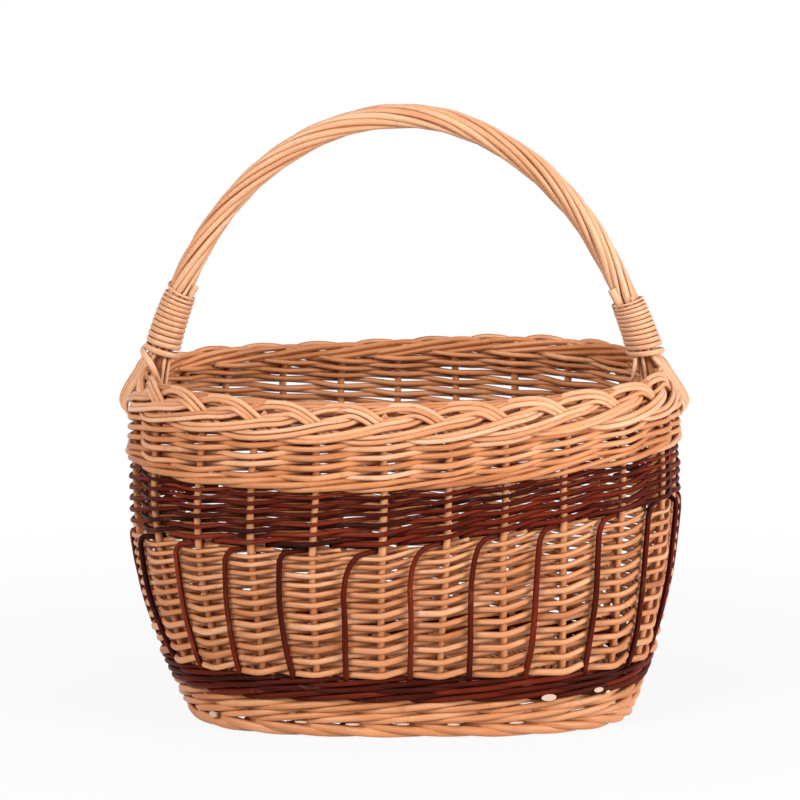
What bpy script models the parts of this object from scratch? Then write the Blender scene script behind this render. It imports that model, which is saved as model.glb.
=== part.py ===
"""Oval willow foraging basket: woven sides on bent stakes, plaited rim, roped and bound bow handle.

The long side runs along X, the front faces -Y and the foot stands on Z = 0. Lengths are in metres.
"""

import math

import bmesh
import bpy
import numpy as np

# Body, measured over the outside
BODY_LENGTH = 0.422
BODY_WIDTH = 0.300
FOOT_DRAW_IN = 0.041
WIDEST_DROP = 0.087
RIM_DRAW_IN = 0.0025
OVAL_POWER = 2.6
FLARE_POWER = 1.8

# Clearances
SEAT_GAP = 0.0003
WELD_SHARE = 0.01
WEAVE_GAP = 0.0006
ROW_GAP = 0.0006
BAND_GAP = 0.0007
TURN_GAP = 0.00065
CUT_OVERRUN = 0.004

# Stakes
STAKE_COUNT = 25
STAKE_SHIFT_SHARE = 0.35
STAKE_RADIUS = 0.00265
STAKE_POINTS = 8
SEAT_STEP = 0.0001

# Foot border, a two-strand rope under the stakes
FOOT_STRAND_HALF_WIDTH = 0.0033
FOOT_STRAND_HALF_HEIGHT = 0.0028
FOOT_FLAT_DEPTH = 0.0006

# Bands of weave, upwards from the foot
FOOT_WALE_GAP = 0.0011
FOOT_WALE_RADIUS = 0.0027
BASE_LIFT = 0.0012
LOWER_WALE_GAP = 0.0024
LOWER_WALE_RADIUS = 0.0029
LOWER_WEAVE_HEIGHT = 0.0985
DARK_WEAVE_HEIGHT = 0.0452
UPPER_WALE_RADIUS = 0.0020
UPPER_WEAVE_HEIGHT = 0.0261
RIM_STAND = 0.030
WEAVER_HALF_WIDTH = 0.0019
LOWER_WEAVER_HALF_HEIGHT = 0.0032
DARK_WEAVER_HALF_HEIGHT = 0.0024
UPPER_WEAVER_HALF_HEIGHT = 0.0023

# Dark bars outside the lower weave, halfway between stakes
BAR_RADIUS = 0.0022
BAR_POINTS = 5
BAR_BEND_SHARE = 0.22
BAR_BEND_POWER = 8

# Plaited rim
RIM_STRANDS = 3
RIM_STRAND_HALF_WIDTH = 0.0038
RIM_STRAND_HALF_THICKNESS = 0.0021
RIM_SPREAD = 0.0125
RIM_LIFT = 0.0032
RIM_INSET = 0.0019
RIM_TILT = math.radians(60)
RIM_SWING_START_SHARE = 1 / 12

# Base
BASE_STICK_RADIUS = 0.0026
BASE_CROSS_STICK_RADIUS = 0.0031
BASE_CROSS_STICKS = 5
BASE_LONG_STICKS = 5
BASE_CROSS_SPACING = 0.022
BASE_LONG_SPACING = 0.0056
BASE_FAN_RUN = 0.008
BASE_FAN_ANGLE = math.radians(28)
BASE_ROWS = 8
BASE_CORE_HALF_WIDTH = 0.0250
BASE_WEAVER_HALF_WIDTH = 0.0034
BASE_WEAVER_HALF_HEIGHT = 0.0016
RAY_HALVINGS = 50

# Bow handle, its rope of rods and its bindings
HANDLE_RISE = 0.201
HANDLE_SPRING_DROP = 0.050
HANDLE_LEG_DEPTH = 0.117
BOW_RADIUS = 0.0046
BOW_POINTS = 33
ROPE_STRANDS = 9
ROPE_STRAND_RADIUS = 0.00225
ROPE_GAP = 0.0008
ROPE_TURNS_IN_STRANDS = 17
ROPE_POINTS = 22
TAIL_SIDE_STRANDS = 2
TAIL_FOLD_DROP = 0.0090
INNER_TAIL_DROP = 0.026
TAIL_PLACE = -STAKE_SHIFT_SHARE
BINDING_TURNS = 12
BINDING_POINTS_PER_TURN = 8
BINDING_ROD_RADIUS = 0.0017
BINDING_LIFT = 0.0130

LIGHT_WILLOW = (0.60, 0.34, 0.17, 1)
PALE_WILLOW = (0.68, 0.42, 0.23, 1)
DARK_WILLOW = (0.10, 0.030, 0.014, 1)
WILLOW_ROUGHNESS = 0.45

FULL_TURN = 2 * math.pi
ROUND_SIDES = 6
DIAMOND_SIDES = 4


def wale_half_height(radius):
    """Half the height of a wale, three rods one over another."""
    return 3 * radius + SEAT_GAP


# Levels that follow from the sizes above
FOOT_SWING = FOOT_STRAND_HALF_WIDTH + SEAT_GAP / 2
FOOT_RISE = FOOT_STRAND_HALF_HEIGHT + SEAT_GAP / 2
FOOT_BORDER_LEVEL = FOOT_RISE + FOOT_STRAND_HALF_HEIGHT * math.sin(FULL_TURN / ROUND_SIDES) - FOOT_FLAT_DEPTH
FOOT_BORDER_TOP = 2 * FOOT_BORDER_LEVEL + FOOT_FLAT_DEPTH
STAKE_FOOT = FOOT_BORDER_TOP + SEAT_GAP
FOOT_WALE_LEVEL = FOOT_BORDER_TOP + FOOT_WALE_GAP + wale_half_height(FOOT_WALE_RADIUS)
FOOT_WALE_TOP = FOOT_WALE_LEVEL + wale_half_height(FOOT_WALE_RADIUS)
BASE_LEVEL = FOOT_WALE_TOP + BASE_LIFT
LOWER_WALE_LEVEL = FOOT_WALE_TOP + LOWER_WALE_GAP + wale_half_height(LOWER_WALE_RADIUS)
LOWER_WEAVE_BOTTOM = LOWER_WALE_LEVEL + wale_half_height(LOWER_WALE_RADIUS) + BAND_GAP
LOWER_WEAVE_TOP = LOWER_WEAVE_BOTTOM + LOWER_WEAVE_HEIGHT
DARK_WEAVE_TOP = LOWER_WEAVE_TOP + DARK_WEAVE_HEIGHT
UPPER_WALE_LEVEL = DARK_WEAVE_TOP + BAND_GAP + wale_half_height(UPPER_WALE_RADIUS)
UPPER_WEAVE_BOTTOM = UPPER_WALE_LEVEL + wale_half_height(UPPER_WALE_RADIUS) + BAND_GAP
UPPER_WEAVE_TOP = UPPER_WEAVE_BOTTOM + UPPER_WEAVE_HEIGHT
BODY_HEIGHT = UPPER_WEAVE_TOP + RIM_STAND
WIDEST_LEVEL = BODY_HEIGHT - WIDEST_DROP
HANDLE_TOP = BODY_HEIGHT + HANDLE_RISE
HANDLE_SPRING_LEVEL = BODY_HEIGHT - HANDLE_SPRING_DROP
HANDLE_LEG_FOOT = BODY_HEIGHT - HANDLE_LEG_DEPTH
BINDING_FOOT_LEVEL = BODY_HEIGHT + BINDING_LIFT


def oval_run(half_length, half_width, samples=7200):
    """The oval |x/a|^p + |y/b|^p = 1 from +X towards +Y: x, y, outward normals and the run along it."""
    angle = np.linspace(0, FULL_TURN, samples + 1)
    cos, sin = np.cos(angle), np.sin(angle)
    share = 2 / OVAL_POWER
    x = half_length * np.sign(cos) * np.abs(cos) ** share
    y = half_width * np.sign(sin) * np.abs(sin) ** share
    steep = OVAL_POWER - 1
    normal_x = np.sign(x) * np.abs(x / half_length) ** steep / half_length
    normal_y = np.sign(y) * np.abs(y / half_width) ** steep / half_width
    size = np.hypot(normal_x, normal_y)
    run = np.concatenate([[0], np.cumsum(np.hypot(np.diff(x), np.diff(y)))])
    return x, y, normal_x / size, normal_y / size, run


def side_step(half_gap, pitch):
    """How far a rod's centre stands off when it swings from side to side once every pitch."""
    return half_gap / np.cos(np.arctan2(2 * half_gap, pitch))


OUTER_RUN = oval_run(BODY_LENGTH / 2, BODY_WIDTH / 2)[4][-1]
WALL_HALF_THICKNESS = WEAVER_HALF_WIDTH + side_step(
    STAKE_RADIUS + WEAVE_GAP + WEAVER_HALF_WIDTH, OUTER_RUN / STAKE_COUNT
)
STAKE_LINE = oval_run(BODY_LENGTH / 2 - WALL_HALF_THICKNESS, BODY_WIDTH / 2 - WALL_HALF_THICKNESS)


def draw_in(level):
    """How far the wall stands inside its widest oval at this level."""
    below = np.clip(1 - np.asarray(level, float) / WIDEST_LEVEL, 0, None)
    above = np.clip((level - WIDEST_LEVEL) / (BODY_HEIGHT - WIDEST_LEVEL), 0, None)
    return FOOT_DRAW_IN * below**FLARE_POWER + RIM_DRAW_IN * above**2


def lean(level):
    """The wall's outward lean at this level, as a tangent."""
    below = np.clip(1 - np.asarray(level, float) / WIDEST_LEVEL, 0, None)
    return FOOT_DRAW_IN * FLARE_POWER / WIDEST_LEVEL * below ** (FLARE_POWER - 1)


def wall(place, level, out=0.0):
    """Points of the wall: place counts stakes round from the first, out is measured from the stake line."""
    place, level, out = np.broadcast_arrays(place, level, out)
    x, y, normal_x, normal_y, run = STAKE_LINE
    along = (place + STAKE_SHIFT_SHARE) % STAKE_COUNT * run[-1] / STAKE_COUNT
    step_x, step_y = np.interp(along, run, normal_x), np.interp(along, run, normal_y)
    reach = (out - draw_in(level)) / np.hypot(step_x, step_y)
    return np.stack([
        np.interp(along, run, x) + step_x * reach,
        np.interp(along, run, y) + step_y * reach,
        level,
    ], axis=-1)


def lane(place, level, half_width):
    """How far in front of a stake, or behind it, the centre of a rod passes."""
    here = wall(place, level)
    ahead = np.linalg.norm(wall(place + 1, level) - here, axis=-1)
    behind = np.linalg.norm(wall(place - 1, level) - here, axis=-1)
    side = STAKE_RADIUS * np.hypot(1, lean(level)) + WEAVE_GAP + half_width
    return side_step(side, np.minimum(ahead, behind))


def woven_rod(bottom, top, half_height):
    """One rod spiralling up in front of one stake and behind the next: round an odd number it alternates."""
    low, high = bottom + half_height, top - half_height
    rows = int((high - low) / (2 * half_height + ROW_GAP))
    place = np.arange(rows * STAKE_COUNT + 1)
    level = low + (high - low) * place / place[-1]
    side = 1 - 2 * (place % 2)
    return wall(place, level, side * lane(place, level, WEAVER_HALF_WIDTH))


def wale_rod(level, radius):
    """A three-rod wale as one closed rod: below its neighbours, above them, then behind the third stake."""
    place = np.arange(3 * STAKE_COUNT)
    step = place % 3
    level = level + np.choose(step, [-1, 1, 0]) * (2 * radius + SEAT_GAP)
    side = np.choose(step, [1, 1, -1])
    return wall(place, level, side * lane(place, level, radius))


def collection(name):
    """A named group for pieces or for guides."""
    made = bpy.data.collections.new(name)
    bpy.context.scene.collection.children.link(made)
    return made


def material(name, colour):
    """A piece's own willow colour."""
    made = bpy.data.materials.new(name)
    made.use_nodes = True
    shader = made.node_tree.nodes["Principled BSDF"]
    shader.inputs["Base Color"].default_value = colour
    shader.inputs["Roughness"].default_value = WILLOW_ROUGHNESS
    shader.inputs["Metallic"].default_value = 0
    made.diffuse_color = colour
    return made


def clear_scene():
    """Start from an empty bench."""
    for item in list(bpy.data.objects):
        bpy.data.objects.remove(item, do_unlink=True)


clear_scene()
BASKET = collection("mushroom_foraging_basket")
GUIDES = collection("guides")
ROOT = bpy.data.objects.new("basket_frame", None)
BASKET.objects.link(ROOT)


def guide(name, data):
    """A helper that shapes other pieces and isn't one itself."""
    item = bpy.data.objects.new(name, data)
    item.hide_render = True
    item.display_type = "WIRE"
    GUIDES.objects.link(item)
    return item


def section(name, half_width, half_height, sides):
    """A rod's cross-section, half_width out of the wall and half_height up it, drawn clockwise."""
    curve = bpy.data.curves.new(name, "CURVE")
    curve.dimensions = "2D"
    spline = curve.splines.new("POLY")
    spline.points.add(sides - 1)
    angle = -np.arange(sides) * FULL_TURN / sides
    flat = np.stack([
        half_width * np.cos(angle), half_height * np.sin(angle), 0 * angle, 1 + 0 * angle
    ], axis=1)
    spline.points.foreach_set("co", flat.ravel())
    spline.use_cyclic_u = True
    return guide(name, curve)


def rod(name, points, shade, radius=0.0, profile=None, sides=ROUND_SIDES, closed=False, tilt=0.0):
    """A rod swept along points, round by its radius or shaped by a profile kept level and then tilted."""
    curve = bpy.data.curves.new(name, "CURVE")
    curve.dimensions = "3D"
    spline = curve.splines.new("POLY")
    spline.points.add(len(points) - 1)
    spline.points.foreach_set("co", np.c_[points, np.ones(len(points))].ravel())
    spline.points.foreach_set("tilt", np.full(len(points), tilt))
    spline.use_cyclic_u = closed
    curve.use_fill_caps = not closed
    if profile:
        curve.twist_mode = "Z_UP"
        curve.bevel_mode = "OBJECT"
        curve.bevel_object = profile
    else:
        curve.bevel_depth = radius
        curve.bevel_resolution = (sides - DIAMOND_SIDES) // 2
    curve.materials.append(material(name, shade))
    item = bpy.data.objects.new(name, curve)
    BASKET.objects.link(item)
    item.parent = ROOT
    return item


def as_mesh(item, group=BASKET):
    """The same piece as a welded mesh, which can be cut and joined."""
    bpy.context.view_layer.update()
    seen = item.evaluated_get(bpy.context.evaluated_depsgraph_get())
    mesh = bpy.data.meshes.new_from_object(seen)
    shape = bmesh.new()
    shape.from_mesh(mesh)
    bmesh.ops.remove_doubles(shape, verts=shape.verts, dist=SEAT_GAP * WELD_SHARE)
    shape.to_mesh(mesh)
    shape.free()
    name, place = item.name, item.matrix_world.copy()
    bpy.data.objects.remove(item)
    made = bpy.data.objects.new(name, mesh)
    made.matrix_world = place
    group.objects.link(made)
    if group is BASKET:
        made.parent = ROOT
    return made


def joined(items, name):
    """Several mesh pieces as one helper mesh of separate bodies."""
    shape = bmesh.new()
    for item in items:
        item.data.transform(item.matrix_world)
        shape.from_mesh(item.data)
        bpy.data.objects.remove(item)
    mesh = bpy.data.meshes.new(name)
    shape.to_mesh(mesh)
    shape.free()
    return guide(name, mesh)


def boolean(item, tool, operation):
    """Cut a helper out of a piece, or join it on."""
    cut = item.modifiers.new(tool.name, "BOOLEAN")
    cut.operation = operation
    cut.object = tool
    cut.solver = "EXACT"


def make_stakes(top):
    """The side stakes: each is bent up from the foot border to the rim, in its own upright plane."""
    level = np.linspace(STAKE_FOOT, top, STAKE_POINTS)
    points = np.stack([-draw_in(level), 0 * level, level], axis=1)
    first = rod("side_stake_01", points, LIGHT_WILLOW, STAKE_RADIUS, sides=DIAMOND_SIDES)
    for number in range(STAKE_COUNT):
        item = first
        if number:
            item = bpy.data.objects.new(f"side_stake_{number + 1:02d}", first.data)
            BASKET.objects.link(item)
            item.parent = ROOT
        place = wall(number, WIDEST_LEVEL)
        out = wall(number, WIDEST_LEVEL, WALL_HALF_THICKNESS) - place
        item.location = (place[0], place[1], 0)
        item.rotation_euler = (0, 0, math.atan2(out[1], out[0]))


def make_weave():
    """The light and dark bands of randing, one rod to a band, and the wales between them."""
    for name, bottom, top, half_height, shade in (
        ("lower_side_weave", LOWER_WEAVE_BOTTOM, LOWER_WEAVE_TOP, LOWER_WEAVER_HALF_HEIGHT, LIGHT_WILLOW),
        ("dark_band_weave", LOWER_WEAVE_TOP, DARK_WEAVE_TOP, DARK_WEAVER_HALF_HEIGHT, DARK_WILLOW),
        ("upper_side_weave", UPPER_WEAVE_BOTTOM, UPPER_WEAVE_TOP, UPPER_WEAVER_HALF_HEIGHT, LIGHT_WILLOW),
    ):
        flat = section(f"{name}_section", WEAVER_HALF_WIDTH, half_height, DIAMOND_SIDES)
        rod(name, woven_rod(bottom, top, half_height), shade, profile=flat)
    for name, level, radius in (
        ("foot_wale", FOOT_WALE_LEVEL, FOOT_WALE_RADIUS),
        ("upper_wale", UPPER_WALE_LEVEL, UPPER_WALE_RADIUS),
    ):
        flat = section(f"{name}_section", radius, radius, DIAMOND_SIDES)
        rod(name, wale_rod(level, radius), PALE_WILLOW, profile=flat, closed=True)


def bar_points(number):
    """A dark rod's centre line: up the outside of the weave, halfway between two stakes, then bent over."""
    share = np.linspace(0, 1, BAR_POINTS)
    top = LOWER_WEAVE_TOP - BAR_RADIUS - SEAT_GAP
    level = LOWER_WALE_LEVEL + (top - LOWER_WALE_LEVEL) * share
    left, right = wall(number, level), wall(number + 1, level)
    along = right - left
    pitch = np.linalg.norm(along, axis=1)[:, None]
    along /= pitch
    out = np.stack([along[:, 1], -along[:, 0], 0 * level], axis=1)
    bend = BAR_BEND_SHARE * share**BAR_BEND_POWER
    slope = 2 * lane(number, LOWER_WEAVE_BOTTOM, WEAVER_HALF_WIDTH) / pitch[0, 0]
    clear = WEAVER_HALF_WIDTH * np.hypot(1, slope) + BAR_RADIUS * (1 + slope) + SEAT_GAP
    return (left + right) / 2 + along * bend[:, None] * pitch + out * (
        clear + slope * bend[:, None] * pitch
    )


def make_lower_wale():
    """The dark wale, with the dark bars that rise out of it."""
    flat = section("lower_wale_section", LOWER_WALE_RADIUS, LOWER_WALE_RADIUS, DIAMOND_SIDES)
    wale = rod("lower_wale_and_bars", wale_rod(LOWER_WALE_LEVEL, LOWER_WALE_RADIUS), DARK_WILLOW,
               profile=flat, closed=True)
    wale = as_mesh(wale)
    bars = []
    for number in range(STAKE_COUNT):
        bar = rod(f"bar_{number}", bar_points(number), DARK_WILLOW, BAR_RADIUS, sides=DIAMOND_SIDES)
        bars.append(as_mesh(bar, GUIDES))
    boolean(wale, joined(bars, "bars"), "UNION")


def make_foot_border():
    """Two rods twisted once every two stakes, one over the other under each stake, cut flat to stand on."""
    place = np.arange(4 * STAKE_COUNT) / 2
    turn = FULL_TURN / 2 * (place + 1 / 2)
    points = wall(place, FOOT_BORDER_LEVEL - FOOT_RISE * np.sin(turn), FOOT_SWING * np.cos(turn))
    flat = section("foot_border_section", FOOT_STRAND_HALF_WIDTH, FOOT_STRAND_HALF_HEIGHT, ROUND_SIDES)
    border = as_mesh(rod("foot_border", points, PALE_WILLOW, profile=flat, closed=True))
    mesh = bpy.data.meshes.new("foot_cut")
    shape = bmesh.new()
    bmesh.ops.create_cube(shape, size=1)
    bmesh.ops.scale(shape, verts=shape.verts, vec=(BODY_LENGTH, BODY_WIDTH, CUT_OVERRUN))
    bmesh.ops.translate(shape, verts=shape.verts, vec=(0, 0, -CUT_OVERRUN / 2))
    shape.to_mesh(mesh)
    shape.free()
    boolean(border, guide("foot_cut", mesh), "DIFFERENCE")


RIM_HALF_BREADTH = RIM_SPREAD + RIM_STRAND_HALF_WIDTH
RIM_LEVEL = BODY_HEIGHT - RIM_HALF_BREADTH * math.sin(RIM_TILT)


def rim_point(place, across, over):
    """A point of the rim: across runs outwards and down, over runs out of its slanting face."""
    level = RIM_LEVEL - across * math.sin(RIM_TILT) + over * math.cos(RIM_TILT)
    out = across * math.cos(RIM_TILT) + over * math.sin(RIM_TILT) - RIM_INSET
    at_rim = wall(place, RIM_LEVEL + 0 * out, out)
    return np.concatenate([at_rim[..., :2], np.expand_dims(level + 0 * out, -1)], axis=-1)


def rim_strand():
    """The plait as one closed strand: three rounds, each a third of a swing behind the last."""
    place = np.arange(2 * RIM_STRANDS * STAKE_COUNT) / 2
    swing = FULL_TURN * (place / RIM_STRANDS + RIM_SWING_START_SHARE)
    return rim_point(place, RIM_SPREAD * np.sin(swing), RIM_LIFT * np.sin(2 * swing))


def make_rim():
    """The plaited rim, its flat strands tilted to lie along the slanting top edge."""
    flat = section("rim_section", RIM_STRAND_HALF_WIDTH, RIM_STRAND_HALF_THICKNESS, ROUND_SIDES)
    rod("plaited_rim", rim_strand(), PALE_WILLOW, profile=flat, closed=True, tilt=RIM_TILT)


def segments_apart(point, starts, ends):
    """The least distance from a point to a run of straight pieces."""
    along = ends - starts
    share = np.clip(((point - starts) * along).sum(1) / (along**2).sum(1), 0, 1)
    return np.linalg.norm(starts + share[:, None] * along - point, axis=1).min()


def stake_top():
    """The highest level where a stake's top ring still clears the rim's underside."""
    starts = rim_strand()
    ends = np.roll(starts, -1, axis=0)
    reach = RIM_STRAND_HALF_WIDTH + SEAT_GAP
    level = UPPER_WEAVE_TOP
    ring = (0, STAKE_RADIUS, -STAKE_RADIUS)
    while level < RIM_LEVEL and all(
        segments_apart(wall(0, level, out), starts, ends) > reach for out in ring
    ):
        level += SEAT_STEP
    return level - SEAT_STEP


BASE_END_INSET = STAKE_RADIUS * math.hypot(1, lean(BASE_LEVEL)) + SEAT_GAP + BASE_CROSS_STICK_RADIUS


def ray_to_oval(start, direction, half_length, half_width):
    """Where rays from inside an oval meet it, found by halving."""
    low, high = 0 * half_length, half_length + half_width
    for _ in range(RAY_HALVINGS):
        middle = (low + high) / 2
        point = start + direction * middle[:, None]
        inside = (
            np.abs(point[:, 0] / half_length) ** OVAL_POWER
            + np.abs(point[:, 1] / half_width) ** OVAL_POWER
        ) < 1
        low, high = np.where(inside, middle, low), np.where(inside, high, middle)
    return start + direction * low[:, None]


def base_rays():
    """Each base stick's two outer ends as rays, in order round the base from the long stick at +X."""
    reach = (BASE_CROSS_STICKS - 1) / 2 * BASE_CROSS_SPACING
    cross = np.linspace(reach, -reach, BASE_CROSS_STICKS)
    steps = np.arange(BASE_LONG_STICKS) - (BASE_LONG_STICKS - 1) / 2
    starts, turns = [], []
    for side in (1, -1):
        for step in steps:
            starts.append((side * (reach + BASE_FAN_RUN), side * step * BASE_LONG_SPACING))
            turns.append(step * BASE_FAN_ANGLE + (side < 0) * math.pi)
        for place in cross:
            starts.append((side * place, 0))
            turns.append(side * math.pi / 2)
    turns = np.array(turns)
    return np.array(starts), np.stack([np.cos(turns), np.sin(turns)], axis=1)


def base_stick(name, path, radius, sides):
    """One straight or fanned stick of the base, as a mesh among the guides."""
    points = np.c_[path, np.full(len(path), BASE_LEVEL)]
    return as_mesh(rod(name, points, PALE_WILLOW, radius, sides=sides), GUIDES)


def make_base():
    """Crossed sticks, the long ones fanned at both ends, and two rods that chase each other round them."""
    half_length = STAKE_LINE[0][0] - draw_in(BASE_LEVEL)
    half_width = STAKE_LINE[1].max() - draw_in(BASE_LEVEL)
    starts, directions = base_rays()
    full = np.ones(len(starts))
    tips = ray_to_oval(
        starts, directions, full * (half_length - BASE_END_INSET), full * (half_width - BASE_END_INSET)
    )
    half_round = BASE_LONG_STICKS + BASE_CROSS_STICKS
    long_sticks, cross_sticks = [], []
    for one in range(half_round):
        if one < BASE_LONG_STICKS:
            other = half_round + BASE_LONG_STICKS - 1 - one
            path = np.array([tips[one], starts[one], starts[other], tips[other]])
            long_sticks.append(base_stick(f"long_stick_{one}", path, BASE_STICK_RADIUS, DIAMOND_SIDES))
        else:
            other = 2 * half_round + BASE_LONG_STICKS - 1 - one
            path = np.array([tips[one], tips[other]])
            cross_sticks.append(
                base_stick(f"cross_stick_{one}", path, BASE_CROSS_STICK_RADIUS, ROUND_SIDES)
            )
    frame = joined(cross_sticks, "base_sticks")
    frame.hide_render = False
    frame.display_type = "TEXTURED"
    GUIDES.objects.unlink(frame)
    BASKET.objects.link(frame)
    frame.parent = ROOT
    boolean(frame, joined(long_sticks, "long_sticks"), "UNION")
    weave_base(starts, directions, half_length, half_width)


def weave_base(starts, directions, half_length, half_width):
    """The two base rods: each spirals outwards over one stick and under the next, opposite the other."""
    inset = BASE_END_INSET + BASE_WEAVER_HALF_WIDTH
    spread = half_width - inset - BASE_CORE_HALF_WIDTH
    rays = len(starts)
    crossings = BASE_ROWS // 2 * rays
    flat = section("base_weave_section", BASE_WEAVER_HALF_WIDTH, BASE_WEAVER_HALF_HEIGHT, DIAMOND_SIDES)
    for number in range(2):
        step = np.arange(crossings + 1)
        grown = spread * (step / rays * 2 + number) / (BASE_ROWS + 1 - BASE_ROWS % 2)
        ray = step % rays
        points = ray_to_oval(
            starts[ray], directions[ray],
            half_length - inset - spread + grown, BASE_CORE_HALF_WIDTH + grown,
        )
        chord = np.linalg.norm(np.diff(points, axis=0), axis=1)
        chord = np.minimum(np.append(chord, chord[-1]), np.append(chord[0], chord))
        side = side_step(BASE_CROSS_STICK_RADIUS + WEAVE_GAP + BASE_WEAVER_HALF_HEIGHT, chord)
        level = BASE_LEVEL + (1 - 2 * ((step + number) % 2)) * side
        rod(f"base_weave_{number + 1}", np.c_[points, level], PALE_WILLOW, profile=flat)


ROPE_RADIUS = BOW_RADIUS + ROPE_GAP + ROPE_STRAND_RADIUS
BOW_HALF_SPAN = (
    STAKE_LINE[0][0] - draw_in(HANDLE_LEG_FOOT) - WALL_HALF_THICKNESS - SEAT_GAP - BOW_RADIUS
)
BOW_RISE = HANDLE_TOP - ROPE_RADIUS - ROPE_STRAND_RADIUS - HANDLE_SPRING_LEVEL
LEG_RUN = HANDLE_SPRING_LEVEL - HANDLE_LEG_FOOT


def bow_table(samples=4000):
    """The bow's line in its upright plane, from the left leg's foot over the top: x, z and run."""
    angle = np.linspace(math.pi, 0, samples)
    x = BOW_HALF_SPAN * np.cos(angle)
    z = HANDLE_SPRING_LEVEL + BOW_RISE * np.sin(angle)
    x = np.concatenate([[-BOW_HALF_SPAN], x, [BOW_HALF_SPAN]])
    z = np.concatenate([[HANDLE_LEG_FOOT], z, [HANDLE_LEG_FOOT]])
    run = np.concatenate([[0], np.cumsum(np.hypot(np.diff(x), np.diff(z)))])
    return x, z, run


BOW = bow_table()
BOW_RUN = BOW[2][-1]


def around_bow(run, radius=0.0, angle=0.0):
    """Points about the bow: angle 0 faces out of the arch and a quarter turn faces the back."""
    x, z, along = BOW
    here_x, here_z = np.interp(run, along, x), np.interp(run, along, z)
    step = BOW_RADIUS
    ahead_x = np.interp(run + step, along, x) - np.interp(run - step, along, x)
    ahead_z = np.interp(run + step, along, z) - np.interp(run - step, along, z)
    size = np.hypot(ahead_x, ahead_z)
    out_x, out_z = -ahead_z / size, ahead_x / size
    aside = radius * np.cos(angle)
    return np.stack([
        here_x + aside * out_x,
        radius * np.sin(angle) + 0 * here_x,
        here_z + aside * out_z,
    ], axis=-1)


def bow_run_at(level):
    """How far along the bow the left leg reaches this level."""
    x, z, along = BOW
    rising = slice(0, len(z) // 2)
    return float(np.interp(level, z[rising], along[rising]))


BINDING_PITCH = 2 * BINDING_ROD_RADIUS + TURN_GAP
BINDING_START = bow_run_at(BINDING_FOOT_LEVEL)
BINDING_END = BINDING_START + BINDING_TURNS * BINDING_PITCH


def make_bow():
    """The bow inside the rope, its legs pushed down inside the wall."""
    legs = np.linspace(0, LEG_RUN, 4)
    arch = np.linspace(LEG_RUN, BOW_RUN - LEG_RUN, BOW_POINTS)
    run = np.concatenate([legs, arch[1:-1], BOW_RUN - legs[::-1]])
    rod("handle_bow", around_bow(run), LIGHT_WILLOW, BOW_RADIUS)


def tail(angle, side):
    """A rod's end below its binding, from the tip up: fanned over the rim, or straight down inside it."""
    steps = angle / (FULL_TURN / ROPE_STRANDS)
    if abs(steps) > TAIL_SIDE_STRANDS + 1 / 2:
        run = np.linspace(BINDING_START - INNER_TAIL_DROP, BINDING_START, 3)
        points = around_bow(run[:-1], ROPE_RADIUS, angle)
    else:
        over = RIM_LIFT + RIM_STRAND_HALF_THICKNESS + SEAT_GAP + ROPE_STRAND_RADIUS
        inner = rim_point(TAIL_PLACE, -RIM_HALF_BREADTH, over)
        corner = rim_point(TAIL_PLACE, RIM_HALF_BREADTH, over)
        level = corner[2] - TAIL_FOLD_DROP
        fold = wall(TAIL_PLACE, level, WALL_HALF_THICKNESS + SEAT_GAP + ROPE_STRAND_RADIUS)
        points = np.array([fold, corner, inner])
        points[:, 0] *= -1
        points[:, 1] = steps * (2 * ROPE_STRAND_RADIUS + SEAT_GAP)
    points[:, 0] *= side
    return points


def make_rope():
    """The rods of the rope: laid round the bow, held by both bindings, their ends woven away."""
    full = ROPE_TURNS_IN_STRANDS * FULL_TURN / ROPE_STRANDS
    laid = np.linspace(BINDING_END, BOW_RUN - BINDING_END, ROPE_POINTS)
    bound = (BINDING_START + BINDING_END) / 2
    run = np.concatenate([[BINDING_START, bound], laid, [BOW_RUN - bound, BOW_RUN - BINDING_START]])
    share = np.clip((run - BINDING_END) / (BOW_RUN - 2 * BINDING_END), 0, 1)
    for number in range(ROPE_STRANDS):
        first = number * FULL_TURN / ROPE_STRANDS
        first = (first + math.pi) % FULL_TURN - math.pi
        last = (first - full + math.pi) % FULL_TURN - math.pi
        middle = around_bow(run, ROPE_RADIUS, first - full * share)
        points = np.concatenate([tail(first, 1), middle, tail(last, -1)[::-1]])
        rod(f"handle_rope_rod_{number + 1}", points, PALE_WILLOW, ROPE_STRAND_RADIUS, sides=DIAMOND_SIDES)


def least_turn_gap(points, radius):
    """The least gap between a winding's surface and itself, measured on points along its line."""
    share = np.linspace(0, 1, BINDING_POINTS_PER_TURN)[:-1, None, None]
    dense = (points[:-1] + share * (points[1:] - points[:-1])).transpose(1, 0, 2).reshape(-1, 3)
    per_turn = (BINDING_POINTS_PER_TURN - 1) * BINDING_POINTS_PER_TURN
    apart = np.inf
    for shift in range(per_turn // 2, len(dense)):
        apart = min(apart, np.linalg.norm(dense[shift:] - dense[:-shift], axis=1).min())
    return apart - 2 * radius


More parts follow.
